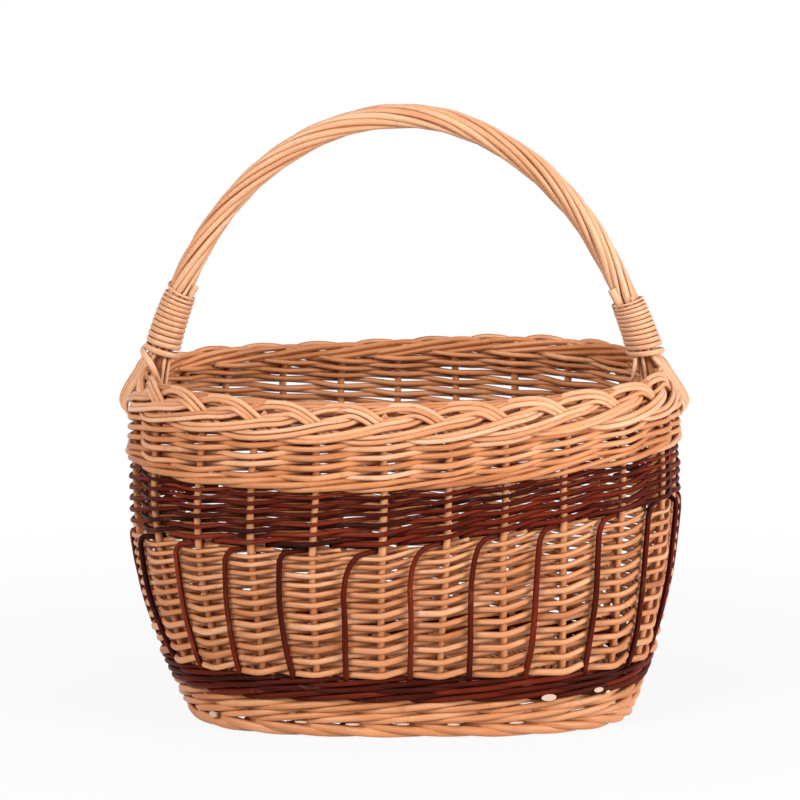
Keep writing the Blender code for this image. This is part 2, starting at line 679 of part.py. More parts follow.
def make_bindings():
    """The two windings that bind the rope to the bow, each one rod with a straight end at top and foot."""
    around = ROPE_RADIUS + ROPE_STRAND_RADIUS + SEAT_GAP + BINDING_ROD_RADIUS
    around /= math.cos(math.pi / BINDING_POINTS_PER_TURN)
    turn = np.arange(BINDING_TURNS * BINDING_POINTS_PER_TURN + 1) / BINDING_POINTS_PER_TURN
    for name, side in (("binding_left", 1), ("binding_right", -1)):
        run = BINDING_START + turn * BINDING_PITCH
        points = around_bow(run, around, FULL_TURN * turn * side)
        points[:, 0] *= side
        ends = []
        for end, before in ((points[0], points[1]), (points[-1], points[-2])):
            away = end - before
            away = away / np.linalg.norm(away)
            ends.append(end + away * 2 * BINDING_ROD_RADIUS)
        points = np.concatenate([[ends[0]], points, [ends[1]]])
        rod(name, points, PALE_WILLOW, BINDING_ROD_RADIUS)
        gap = least_turn_gap(points, BINDING_ROD_RADIUS)
        print(f"{name}: least gap to itself {gap:.5f} m")


make_foot_border()
make_base()
make_weave()
make_lower_wale()
make_stakes(stake_top())
make_rim()
make_bow()
make_rope()
make_bindings()
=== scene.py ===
"""A willow basket for gathering mushrooms: its weave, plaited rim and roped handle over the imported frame.

Levels are metres above the ground. A place counts side stakes round the basket from the first one,
so place 3.5 lies halfway between the fourth stake and the fifth, and out is measured from the line
of the stakes outwards. Along the front, places grow to the right.
"""

import logging
import math
from collections.abc import Callable
from dataclasses import dataclass, field
from enum import Enum
from functools import cache

import bpy
import numpy as np
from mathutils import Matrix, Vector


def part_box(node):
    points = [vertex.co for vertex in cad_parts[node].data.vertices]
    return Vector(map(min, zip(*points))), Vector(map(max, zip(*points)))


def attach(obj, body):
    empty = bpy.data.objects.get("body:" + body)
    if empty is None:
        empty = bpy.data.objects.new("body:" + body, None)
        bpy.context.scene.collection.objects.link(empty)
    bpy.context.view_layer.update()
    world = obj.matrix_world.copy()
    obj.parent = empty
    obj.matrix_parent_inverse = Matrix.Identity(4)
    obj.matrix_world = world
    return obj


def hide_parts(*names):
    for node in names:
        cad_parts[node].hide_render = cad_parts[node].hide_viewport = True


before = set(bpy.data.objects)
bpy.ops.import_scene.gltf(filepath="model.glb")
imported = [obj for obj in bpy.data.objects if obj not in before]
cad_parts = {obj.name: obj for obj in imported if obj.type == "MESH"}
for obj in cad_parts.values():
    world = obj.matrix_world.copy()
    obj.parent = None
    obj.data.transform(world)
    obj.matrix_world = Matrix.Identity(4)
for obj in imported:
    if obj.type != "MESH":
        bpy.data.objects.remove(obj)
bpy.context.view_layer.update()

Array = np.ndarray
LevelAt = Callable[[Array], Array]
TAU = math.tau
MM = 0.001
UP = np.array([0, 0, 1.0])
log = logging.getLogger("basket")


class Slot(Enum):
    """The record's willow finishes."""

    LIGHT = "light_willow"
    PALE = "pale_willow"
    DARK = "dark_willow"


# ---- shader maths ----


def joins(operation: str, swap: bool = False) -> Callable[["Wire", "Wire | float"], "Wire"]:
    """An operator that adds a Math node, with the other value first if swap is set."""

    def join(self: "Wire", other: "Wire | float") -> "Wire":
        """The value that leaves the node."""
        pair = (other, self) if swap else (self, other)
        return self.sheet.node("ShaderNodeMath", {"operation": operation}, dict(enumerate(pair)))

    return join


@dataclass
class Wire:
    """One socket's value, which can be added, multiplied and compared like a number."""

    sheet: "Sheet"
    socket: bpy.types.NodeSocket

    __add__ = __radd__ = joins("ADD")
    __mul__ = __rmul__ = joins("MULTIPLY")
    __sub__ = joins("SUBTRACT")
    __rsub__ = joins("SUBTRACT", swap=True)

    def step(self, low: float, high: float) -> "Wire":
        """0 below low, 1 above high and a smooth rise between them."""
        inputs = {"Value": self, "From Min": low, "From Max": high}
        return self.sheet.node("ShaderNodeMapRange", {"interpolation_type": "SMOOTHSTEP"}, inputs)


@dataclass
class Sheet:
    """A material's node tree and the ways of adding to it."""

    tree: bpy.types.NodeTree

    @classmethod
    def start(cls, name: str) -> tuple[bpy.types.Material, "Sheet", bpy.types.Node]:
        """A new material, its sheet and its shader."""
        made = bpy.data.materials.new(name)
        made.use_nodes = True
        return made, cls(made.node_tree), made.node_tree.nodes["Principled BSDF"]

    def fill(self, node: bpy.types.Node, inputs: dict) -> None:
        """Link wires to a node's inputs and set the others, by socket name or number."""
        for name, value in inputs.items():
            if isinstance(value, Wire):
                self.tree.links.new(value.socket, node.inputs[name])
            else:
                node.inputs[name].default_value = value

    def node(self, kind: str, settings: dict | None = None, inputs: dict | None = None,
             out: int | str = 0) -> Wire:
        """Add a node of any type.

        Args:
            kind: the node's type.
            settings: its properties, set before its sockets.
            inputs: values or wires by socket name or number.
            out: the output that is wanted.

        Returns:
            The wire that leaves the node.
        """
        made = self.tree.nodes.new(kind)
        for name, value in (settings or {}).items():
            setattr(made, name, value)
        self.fill(made, inputs or {})
        return Wire(self, made.outputs[out])

    def attribute(self, name: str, out: str = "Fac") -> Wire:
        """A value or vector that the mesh carries."""
        return self.node("ShaderNodeAttribute", {"attribute_name": name}, out=out)

    def noise(self, vector: Wire, by: tuple, detail: float = 2, rough: float = 0.5) -> Wire:
        """Soft noise from 0 to 1, stretched by its own scale on each axis."""
        scaled = self.node("ShaderNodeVectorMath", {"operation": "MULTIPLY"}, {0: vector, 1: by})
        inputs = {"Vector": scaled, "Scale": 1.0, "Detail": detail, "Roughness": rough}
        return self.node("ShaderNodeTexNoise", {"noise_dimensions": "3D"}, inputs)

    def mix(self, share: Wire, low: Wire | tuple, high: Wire | tuple, way: str = "MIX") -> Wire:
        """Two colours mixed by a share."""
        low, high = (c if isinstance(c, Wire) else (*c, 1) for c in (low, high))
        settings = {"data_type": "RGBA", "blend_type": way}
        return self.node("ShaderNodeMix", settings, {0: share, 6: low, 7: high}, out=2)

    def ramp(self, value: Wire, stops: tuple) -> Wire:
        """A colour by a value from 0 to 1, read from places and their colours."""
        made = self.tree.nodes.new("ShaderNodeValToRGB")
        elements = made.color_ramp.elements
        while len(elements) < len(stops):
            elements.new(0.5)
        for element, (place, colour) in zip(elements, stops):
            element.position, element.color = place, (*colour, 1)
        self.fill(made, {0: value})
        return Wire(self, made.outputs[0])


# ---- finishes ----


@dataclass(frozen=True)
class Willow:
    """Willow rods of one kind: colour by rod and along it, streaks, specks, sheen and painted shade between
    rows.
    """

    name: str
    tones: tuple
    streak: tuple
    speck: tuple
    speck_share: float = 0.70
    streak_depth: float = 0.55
    rough: tuple = (0.34, 0.56)
    coat: float = 0.10
    coat_rough: float = 0.30
    shine: float = 0.26
    # painted shade: the colour multiplied into each rod's upper and lower sides, where it meets its
    # neighbours
    nook: tuple = (0.28, 0.118, 0.056)

    @cache
    def make(self) -> bpy.types.Material:
        """The finish as a node material, made once."""
        made, sheet, shader = Sheet.start(self.name)
        grain = sheet.attribute("grain", "Vector")
        patch = sheet.noise(grain, (14, 90, 90))
        cloud = sheet.noise(grain, (45, 260, 260), 3)
        fine = sheet.noise(grain, (60, 2100, 2100), 3, 0.6)
        dots = sheet.noise(grain, (330, 900, 900), 2, 0.7)
        joint = sheet.noise(grain, (38, 20, 20), 0)
        mark = dots.step(self.speck_share, self.speck_share + 0.06)
        ring = joint.step(0.70, 0.715) * (1 - joint.step(0.725, 0.74))
        along = sheet.attribute("tone") * 0.60 + patch * 0.70 + cloud * 0.42 - 0.36
        colour = sheet.ramp(along, self.tones)
        colour = sheet.mix(fine.step(0.42, 0.72) * self.streak_depth, colour, self.streak, "MULTIPLY")
        colour = sheet.mix(mark * 0.75, colour, self.speck)
        colour = sheet.mix(ring * 0.18, colour, self.speck)
        # painted shade: the sides of each rod that face its neighbours are darkened towards the painted shade
        # colour
        colour = sheet.mix(sheet.attribute("nook").step(0.44, 1.0), colour, self.nook, "MULTIPLY")
        smooth, rough = self.rough
        height = fine * 0.5 + cloud * 0.5 - mark * 0.4
        relief = {"Strength": 0.35, "Distance": 0.0003, "Height": height}
        sheet.fill(shader, {
            "Base Color": colour,
            "Roughness": smooth + (rough - smooth) * cloud.step(0.3, 0.75) + mark * 0.1,
            "Normal": sheet.node("ShaderNodeBump", None, relief),
            "Coat Weight": self.coat,
            "Coat Roughness": self.coat_rough,
            "Specular IOR Level": self.shine,
        })
        return made


@dataclass(frozen=True)
class CutEnd:
    """The sawn end of a rod: pale wood mottled with darker spots."""

    name: str
    wood: tuple
    edge: tuple

    @cache
    def make(self) -> bpy.types.Material:
        """The finish as a node material, made once."""
        made, sheet, shader = Sheet.start(self.name)
        spots = sheet.noise(sheet.attribute("grain", "Vector"), (900, 1500, 1500), 3, 0.6)
        colour = sheet.mix(spots.step(0.35, 0.7), self.wood, self.edge)
        sheet.fill(shader, {"Base Color": colour, "Roughness": spots * 0.2 + 0.6})
        return made


LIGHT = Willow(
    "light_willow_rods",
    ((0.0, (0.35, 0.105, 0.036)), (0.3, (0.54, 0.205, 0.076)), (0.55, (0.64, 0.275, 0.120)),
     (0.8, (0.72, 0.36, 0.185)), (1.0, (0.80, 0.47, 0.29))),
    (0.70, 0.45, 0.29), (0.18, 0.06, 0.025))
PALE = Willow(
    "pale_willow_rods",
    ((0.0, (0.49, 0.190, 0.080)), (0.3, (0.65, 0.295, 0.138)), (0.55, (0.76, 0.385, 0.205)),
     (0.8, (0.83, 0.475, 0.295)), (1.0, (0.88, 0.58, 0.41))),
    (0.74, 0.50, 0.34), (0.18, 0.06, 0.025))
HANDLE = Willow(
    "handle_willow_rods",
    ((0.0, (0.50, 0.192, 0.083)), (0.3, (0.64, 0.291, 0.139)), (0.55, (0.73, 0.380, 0.206)),
     (0.8, (0.80, 0.468, 0.283)), (1.0, (0.86, 0.58, 0.395))),
    (0.76, 0.54, 0.40), (0.22, 0.08, 0.035), coat=0.25, coat_rough=0.22)
DARK = Willow(
    "dark_willow_rods",
    ((0.0, (0.014, 0.003, 0.002)), (0.3, (0.044, 0.006, 0.003)), (0.6, (0.105, 0.012, 0.005)),
     (0.85, (0.20, 0.026, 0.010)), (1.0, (0.28, 0.060, 0.026))),
    # the last colour is the painted shade multiplied into the rods' sides between rows
    (0.50, 0.36, 0.32), (0.24, 0.10, 0.05), 0.74, 0.5, (0.36, 0.56), 0.0, 0.25, 0.05, (0.18, 0.12, 0.09))
CUT = CutEnd("cut_willow_ends", (0.62, 0.48, 0.36), (0.46, 0.32, 0.22))


# ---- lines and meshes ----


def cubic(t: Array, start: Array, end: Array, leave: Array, arrive: Array) -> Array:
    """A cubic at shares t of the way between two values, with its slopes at both."""
    return ((2 * t**3 - 3 * t**2 + 1) * start + (t**3 - 2 * t**2 + t) * leave
            + (3 * t**2 - 2 * t**3) * end + (t**3 - t**2) * arrive)


def through(keys: Array | tuple, samples: int) -> Array:
    """A smooth line through key points, whose slopes follow their neighbours.

    Args:
        keys: points of shape (..., keys, parts).
        samples: points between one key and the next.

    Returns:
        The line, of shape (..., points, parts).
    """
    keys = np.asarray(keys, float)
    slope = np.gradient(keys, axis=-2)
    t = (np.arange(samples) / samples)[:, None]
    ends = keys[..., :-1, :], keys[..., 1:, :], slope[..., :-1, :], slope[..., 1:, :]
    line = cubic(t, *(end[..., None, :] for end in ends))
    line = line.reshape(*line.shape[:-3], -1, line.shape[-1])
    return np.concatenate([line, keys[..., -1:, :]], -2)


def cyclic(at: Array, period: float, stops: tuple) -> Array:
    """A smooth value that repeats every period and passes through the given stops.

    Args:
        at: where it is wanted.
        period: the length after which it repeats.
        stops: places and values within one period, in order.

    Returns:
        Its values, cubic between stops with slopes from their neighbours.
    """
    place, value = np.array(stops, float).T
    place = np.concatenate([place[-2:] - period, place, place[:3] + period])
    value = np.concatenate([value[-2:], value, value[:3]])
    slope = np.zeros_like(value)
    slope[1:-1] = (value[2:] - value[:-2]) / (place[2:] - place[:-2])
    at = np.mod(at, period)
    low = np.clip(np.searchsorted(place, at, "right") - 1, 1, len(place) - 3)
    gap = place[low + 1] - place[low]
    t = (at - place[low]) / gap
    return cubic(t, value[low], value[low + 1], slope[low] * gap, slope[low + 1] * gap)


def sharp_swing(turn: Array, edge: float = 9.0) -> Array:
    """A cosine of turn with an odd third harmonic added: straight between crests, bent tightly at them."""
    return (np.cos(turn) + np.cos(3 * turn) / edge) / (1 + 1 / edge)


def unit(vector: Array) -> Array:
    """Vectors at a length of 1."""
    return vector / np.linalg.norm(vector, axis=-1, keepdims=True)


def run_along(*parts: Array) -> Array:
    """How far along a flat line each of its points lies."""
    return np.concatenate([[0], np.cumsum(np.hypot(*(np.diff(part) for part in parts)))])


def uneven(rng: np.random.Generator, rods: int, spread: float) -> Array:
    """How thick each rod is as a share of the usual, of shape (rods, 1)."""
    return 1 + rng.normal(0, spread, (rods, 1))


def drift(rng: np.random.Generator, rods: int, points: int, knots: int, size: float) -> Array:
    """Slow uneven change along each rod: a random value at every knot, eased between knots.

    Args:
        rng: the source of chance.
        rods: how many rods.
        points: points along each.
        knots: random values along each.
        size: the standard deviation.

    Returns:
        Values of shape (rods, points).
    """
    value = rng.normal(0, size, (rods, knots + 1))
    at = np.linspace(0, knots, points)
    low = np.minimum(at.astype(int), knots - 1)
    ease = (1 - np.cos((at - low) * math.pi)) / 2
    return value[:, low] * (1 - ease) + value[:, low + 1] * ease


def stand(name: str, data: bpy.types.ID) -> bpy.types.Object:
    """A new object in the scene."""
    made = bpy.data.objects.new(name, data)
    bpy.context.scene.collection.objects.link(made)
    return made


@dataclass
class Bundle:
    """Rods gathered into one piece: a round or flattened section carried along each line."""

    name: str
    rng: np.random.Generator
    around: int = 8
    values: dict = field(default_factory=lambda: {"co": [], "grain": [], "tone": [], "nook": []})
    quads: list = field(default_factory=list)
    fans: list = field(default_factory=list)
    count: int = 0

    def add(self, **values: Array) -> None:
        """Keep some points' values: co, grain, tone and the mask of painted shade between rods."""
        for name, value in values.items():
            self.values[name].append(np.ravel(value))
        self.count += values["tone"].size

    def joined(self, name: str) -> Array:
        """One kind of value for all points."""
        return np.concatenate(self.values[name]).astype(np.float32)

    def lay(self, line: Array, radius: Array | float, facing: Array, flat: float = 1.0,
            tone: Array | None = None) -> None:
        """Add rods of the same number of points.

        At a point of the line the section is line + facing * r * flat * cos(a) + side * r * sin(a),
        where side is the line's direction crossed with facing, and a runs round the rod.

        Args:
            line: the rods' centre lines, of shape (rods, points, 3) or (points, 3).
            radius: half the rod's breadth at each point, or one number.
            facing: a direction at each point, roughly square to the line.
            flat: thickness along facing as a share of the breadth.
            tone: a shade from 0 to 1 for each rod, or chance where it is left out.
        """
        line = line if line.ndim == 3 else line[None]
        rods, length, _ = line.shape
        ahead = unit(np.gradient(line, axis=1))
        facing = np.broadcast_to(facing, line.shape)
        facing = unit(facing - (facing * ahead).sum(2, keepdims=True) * ahead)
        side = np.cross(ahead, facing)
        radius = np.broadcast_to(radius, (rods, length))[..., None, None]
        angle = np.arange(self.around) * TAU / self.around
        cos, sin = np.cos(angle)[:, None], np.sin(angle)[:, None]
        ring = line[:, :, None] + radius * (flat * cos * facing[:, :, None] + sin * side[:, :, None])
        steps = np.linalg.norm(np.diff(line, axis=1, prepend=line[:, :1]), axis=2)
        shift = self.rng.uniform(0, 50, (rods, 1, 1, 3)) * (1, 0.1, 0.1)
        grain = np.broadcast_arrays(np.cumsum(steps, 1)[:, :, None, None], radius * cos, radius * sin)
        grain = np.concatenate(grain, 3) + shift
        if tone is None:
            tone = np.clip(self.rng.normal(0.5, 0.22, rods), 0, 1)
        shape = (rods, length, self.around)
        tone = np.broadcast_to(np.reshape(tone, (rods, -1, 1)), shape)
        first = self.count + np.arange(rods)[:, None] * length * self.around
        corner = first[..., None] + np.arange(length - 1)[:, None] * self.around
        col = np.arange(self.around)
        turn = (col + 1) % self.around
        quads = corner + col, corner + turn, corner + self.around + turn, corner + self.around + col
        self.quads.append(np.stack(quads, -1).reshape(-1, 4))
        # painted shade mask: 1 on the sides of the section square to facing, where rods meet their
        # neighbours, 0 where it faces along facing; the end caps get 0
        self.add(co=ring, grain=grain, tone=tone, nook=np.broadcast_to(1 - np.abs(np.cos(angle)), shape))
        for end, low, high in ((0, turn, col), (length - 1, col, turn)):
            rim = first + end * self.around
            fan = np.broadcast_arrays(self.count + np.arange(rods)[:, None], rim + low, rim + high)
            self.fans.append(np.stack(fan, -1).reshape(-1, 3))
            self.add(co=line[:, end], grain=grain[:, end].mean(1), tone=tone[:, end, 0], nook=np.zeros(rods))

    def make(self, finish: Willow, slot: Slot, *replaces: str) -> None:
        """Turn the bundle into an object that rides on the basket.

        Args:
            finish: what the rods look like along their sides.
            slot: the record's slot of the piece; not used.
            replaces: the CAD nodes that it stands for.
        """
        quads, fans = np.concatenate(self.quads), np.concatenate(self.fans)
        starts = np.concatenate([np.arange(len(quads)) * 4, quads.size + np.arange(len(fans)) * 3])
        is_fan = np.arange(len(starts)) >= len(quads)
        corners = np.concatenate([quads.ravel(), fans.ravel()])
        mesh = bpy.data.meshes.new(self.name)
        mesh.vertices.add(self.count)
        mesh.loops.add(len(corners))
        mesh.polygons.add(len(starts))
        mesh.vertices.foreach_set("co", self.joined("co"))
        mesh.loops.foreach_set("vertex_index", corners.astype(np.int32))
        mesh.polygons.foreach_set("loop_start", starts.astype(np.int32))
        mesh.polygons.foreach_set("material_index", is_fan.astype(np.int32))
        mesh.polygons.foreach_set("use_smooth", ~is_fan)
        for side in (finish, CUT):
            mesh.materials.append(side.make())
        for name, kind, key in (
                ("grain", "FLOAT_VECTOR", "vector"), ("tone", "FLOAT", "value"), ("nook", "FLOAT", "value")):
            mesh.attributes.new(name, kind, "POINT").data.foreach_set(key, self.joined(name))
        mesh.update(calc_edges=True)
        mesh.validate()
        piece = stand(self.name, mesh)
        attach(piece, "root")
        if replaces:
            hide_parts(*replaces)
        log.info("%s: %d points, %d faces", self.name, self.count, len(starts))


# ---- the basket ----


def span(node: str) -> tuple[float, float]:
    """A node's lowest and highest levels."""
    low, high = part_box(node)
    return low.z, high.z


def read_span(node: str) -> tuple:
    """A field with a node's levels, read from the frame."""
    return field(default_factory=lambda: span(node))


def even(level: float) -> LevelAt:
    """The same level at every place."""
    return lambda place: level + 0 * place


@dataclass
class Wall:
    """The basket's wall: turns places, levels and distances outwards into points."""

    stakes: int = 25
    first_share: float = 0.35
    power: float = 2.6
    half_length: float = 0.211 - 0.00717
    half_width: float = 0.150 - 0.00717
    flare: float = 1.8
    foot_draw_in: float = 0.041
    rim_draw_in: float = 0.0025
    widest_drop: float = 0.087
    foot_aside: float = 0.0055
    aside_top: float = 0.15
    tuck_drop: float = 0.030
    tuck_slope: float = 0.6
    dip_stops: tuple = (
        # place, how much lower the rim lies there in mm
        (0, -3.6), (1, -4.6), (2, -5.2), (3, -5.6), (4, -5.8), (5, -4.8), (6, -2.2), (7, -0.2), (8, 0),
        (13, 0), (14, 0.6), (15, 2.2), (16, 5.0), (17, 6.6), (18, 6.5), (19, 5.6), (20, 4.0), (21, 0.8),
        (22, -1.4), (23, -2.4), (24, -3.0))
    sway_levels: tuple = (0.03, 0.05, 0.08, 0.11, 0.14, 0.17, 0.20, 0.23, 0.25)
    sway_rows: tuple = (
        # stake, how far aside it leans at each level in hundredths of a place
        (14, 1, 3, 5, 4, 0, -3, 0, 4, 0),
        (15, -4, -2, -3, -3, -3, -3, 3, 10, 0),
        (16, -11, -12, -9, -8, -10, -11, -8, -2, 0),
        (17, -10, -12, -9, -8, -7, -6, -3, 2, 0),
        (18, -2, -3, -1, 1, 4, 6, 8, 9, 0),
        (19, -5, -7, -4, 1, 5, 8, 10, 11, 0),
        (20, 0, 1, 0, -1, -2, -1, 1, 2, 0),
        (21, 6, 10, 4.5, 1, -3, -3, -4, 0, 0),
        (22, 10, 16, 13, 9, 6.5, 7, 8, 7, 0),
        (23, 10, 16, 17, 16, 16, 16, 16, 12, 0))
    top: float = field(default_factory=lambda: span("plaited_rim")[1])
    table: tuple = field(init=False)
    sway: Array = field(init=False)

    def __post_init__(self) -> None:
        """Measure the stakes' oval once, and how far each stake leans aside at each level."""
        self.table = self.oval()
        sway = np.random.default_rng(1).normal(0, 0.035, (self.stakes, len(self.sway_levels)))
        self.sway = (sway + np.roll(sway, 1, 1) + np.roll(sway, -1, 1)) / 3
        self.sway[:, -1] = 0
        for stake, *shifts in self.sway_rows:
            self.sway[stake] = 0.01 * np.array(shifts)

    def oval(self, samples: int = 7200) -> tuple:
        """The oval |x/a|^p + |y/b|^p = 1 from +X towards +Y: x, y, outward normal and run along it."""
        angle = np.linspace(0, TAU, samples + 1)
        parts = []
        for half, turn in ((self.half_length, np.cos(angle)), (self.half_width, np.sin(angle))):
            at = half * np.sign(turn) * np.abs(turn) ** (2 / self.power)
            parts.append((at, np.sign(at) * np.abs(at / half) ** (self.power - 1) / half))
        (x, out_x), (y, out_y) = parts
        size = np.hypot(out_x, out_y)
        return x, y, out_x / size, out_y / size, run_along(x, y)

    @property
    def spacing(self) -> float:
        """The distance from one stake to the next."""
        return self.table[4][-1] / self.stakes

    @property
    def numbers(self) -> Array:
        """The stakes' numbers, a row to each."""
        return np.arange(self.stakes)[:, None]

    def draw_in(self, level: Array) -> Array:
        """How far the wall stands inside its widest oval at a level."""
        widest = self.top - self.widest_drop
        below = np.clip(1 - level / widest, 0, None)
        above = np.clip((level - widest) / self.widest_drop, 0, None)
        return self.foot_draw_in * below**self.flare + self.rim_draw_in * above**2

    def aside(self, level: Array) -> Array:
        """How far the foot stands to the right of the rim, growing with the depth below aside_top."""
        return self.foot_aside * np.clip(1 - level / self.aside_top, 0, None) ** 1.5

    def dip(self, place: Array) -> Array:
        """How much lower the rim lies in front, and below 0 how much higher at the right of the back."""
        return MM * cyclic(place, self.stakes, self.dip_stops)

    def tuck(self, place: Array, level: Array) -> Array:
        """How far stakes and weave lean in under the rim, on a straight slope from tuck_drop below it."""
        return -self.tuck_slope * np.clip(level + self.dip(place) - self.top + self.tuck_drop, 0, None)

    def lean(self, place: Array, level: Array) -> Array:
        """How far aside the wall leans, in places, read off the table of stakes and levels."""
        low = np.floor(place).astype(int)
        share = place - low
        row = np.interp(level, self.sway_levels, np.arange(len(self.sway_levels)))
        under = np.minimum(row.astype(int), len(self.sway_levels) - 2)
        up = row - under
        here, there = (
            (1 - up) * self.sway[stake % self.stakes, under] + up * self.sway[stake % self.stakes, under + 1]
            for stake in (low, low + 1))
        return (1 - share) * here + share * there

    def trace(self, place: Array) -> list[Array]:
        """x, y and both parts of the outward normal along the stakes' oval."""
        *parts, run = self.table
        along = np.mod(place + self.first_share, self.stakes) * run[-1] / self.stakes
        return [np.interp(along, run, part) for part in parts]

    def at(self, place: Array, level: Array, out: Array | float = 0.0) -> Array:
        """Points of the wall at places, levels and distances outwards."""
        place, level, out = np.broadcast_arrays(place, level, out)
        x, y, out_x, out_y = self.trace(place + self.lean(place, level))
        reach = (out - self.draw_in(level)) / np.hypot(out_x, out_y)
        return np.stack([x + out_x * reach + self.aside(level), y + out_y * reach, level], -1)

    def outward(self, place: Array) -> Array:
        """The level direction out of the wall at places."""
        _, _, out_x, out_y = self.trace(place)
        return unit(np.stack([out_x, out_y, 0 * out_x], -1))


@dataclass
class Levels:
    """The heights of the basket's bands, read from the frame, with the slant that the dark band has."""

    wall: Wall
    foot_top: float = field(default_factory=lambda: span("foot_border")[1])
    foot_wale: tuple = read_span("foot_wale")
    dark_wale: tuple = read_span("lower_wale_and_bars")
    lower: tuple = read_span("lower_side_weave")
    band: tuple = read_span("dark_band_weave")
    upper_wale_height: float = 0.0085
    rim_drop: float = 0.0095
    slant_stops: tuple = (
        # place, how much higher the dark band's lower and upper edges lie there in mm
        (0.0, 20, 16), (1.5, 15, 12), (3.5, 8, 8), (6.5, 2, 4), (9.5, 0, 3), (11.8, -2, 5), (13.3, -3, 6),
        (14.6, 0, 2.5), (16.8, 0, 0), (18.05, 1, 1), (19.1, 7, 4), (20.35, 14, 8), (21.5, 20, 14.5),
        (22.8, 23.5, 18.5), (24.2, 22.5, 18), (25.0, 20, 16))

    def slant(self, place: Array, edge: int) -> Array:
        """How much higher the dark band's lower edge (1) or upper edge (2) lies at each place."""
        stops = np.array(self.slant_stops).T
        return MM * np.interp(np.mod(place, stops[0, -1]), stops[0], stops[edge])

    def band_low(self, place: Array) -> Array:
        """The lower edge of the dark band."""
        return self.lower[1] + self.slant(place, 1)

    def band_high(self, place: Array) -> Array:
        """The upper edge of the dark band."""
        return self.band[1] + self.slant(place, 2)

    def upper_low(self, place: Array) -> Array:
        """The lower edge of the upper weave, over its wale."""
        return self.band_high(place) + self.upper_wale_height

    def upper_high(self, place: Array) -> Array:
        """The upper edge of the upper weave, tucked up under the rim."""
        return self.wall.top - self.rim_drop - self.wall.dip(place)


@dataclass
class Stakes:
    """The side stakes, bent up from the foot border and ending inside the plait."""

    wall: Wall
    levels: Levels
    radius: float = 0.0028
    sway: float = 0.02
    foot_depth: float = 0.004
    top_drop: float = 0.012
    points: int = 52

    def build(self) -> None:
        """One rod to each stake, leaning a little to either side."""
        rng = np.random.default_rng(3)
        bundle = Bundle("side_stakes", rng, 10)
        number, shape = self.wall.numbers, (self.wall.stakes, self.points)
        foot = self.levels.foot_top - self.foot_depth
        top = self.wall.top - self.top_drop - self.wall.dip(number)
        level = foot + (top - foot) * np.linspace(0, 1, self.points)
        place = number + drift(rng, *shape, 4, self.sway)
        out = self.wall.tuck(place, level) + drift(rng, *shape, 12, 0.0002)
        radius = self.radius * (1 + drift(rng, *shape, 8, 0.05))
        tone = rng.uniform(0.35, 0.75, self.wall.stakes)
        bundle.lay(self.wall.at(place, level, out), radius, self.wall.outward(place), tone=tone)
        names = (f"side_stake_{n + 1:02d}" for n in range(self.wall.stakes))
        bundle.make(LIGHT, Slot.LIGHT, *names)


@dataclass
class Randing:
    """A band of randing: a rod from every stake, in front of one and behind the next, a row up per stroke."""

    name: str
    wall: Wall
    rows: int
    low: LevelAt
    high: LevelAt
    butt: float
    tip: float
    seed: int
    node: str
    first_front: bool = True
    climb: float = 1.0
    level_drift: float = 0.0003
    taper: float = 0.75
    stake_radius: float = 0.0027
    per_stroke: int = 10
    thickness_spread: float = 0.07

    def row_level(self, place: Array, row: Array) -> Array:
        """The level of a row, lower rows being thicker than higher ones."""
        share = np.clip((row + 0.5) / self.rows, 0, 1.02)
        slope = 2 * (1 - self.taper) / (1 + self.taper)
        share = share * (1 + slope / 2) - slope / 2 * share**2
        low, high = self.low(place), self.high(place)
        return low + (high - low) * share

    def strokes(self, place: Array, stroke: Array, radius: Array) -> tuple[Array, Array]:
        """Levels and distances outwards: the rod swings as a cosine and climbs most just after each stake."""
        row = stroke + self.climb * (1 - sharp_swing(TAU * stroke)) / 4
        sign = 1 if self.first_front else -1
        out = sign * (self.stake_radius + 0.97 * radius) * sharp_swing(math.pi * stroke, 14)
        level = self.row_level(place, row)
        return level, out + self.wall.tuck(place, level)

    def lines(self, rng: np.random.Generator, start: float, end: float) -> tuple[Array, Array, Array]:
        """Every rod's places, centre line and radius between two strokes."""
        shape = self.wall.stakes, int((end - start) * self.per_stroke) + 1
        stroke = np.linspace(start, end, shape[1])[None]
        place = self.wall.numbers + stroke
        share = np.clip(stroke / self.rows, 0, 1)
        radius = (self.butt + (self.tip - self.butt) * share) * uneven(rng, shape[0], self.thickness_spread)
        radius = radius * (1 + drift(rng, *shape, self.rows, 0.03))
        level, out = self.strokes(place, stroke, radius)
        level = level + drift(rng, *shape, self.rows, self.level_drift)
        out = out + drift(rng, *shape, self.rows, 0.0003)
        return place, self.wall.at(place, level, out), radius

    def build(self) -> None:
        """Lay every rod, its butt and its tip left inside the basket."""
        rng = np.random.default_rng(self.seed)
        bundle = Bundle(self.name, rng)
        end = self.rows - 1 + (0.4 if self.rows % 2 == 0 else -0.6)
        place, line, radius = self.lines(rng, -0.75, end)
        bundle.lay(line, radius, self.wall.outward(place))
        bundle.make(LIGHT, Slot.LIGHT, self.node)


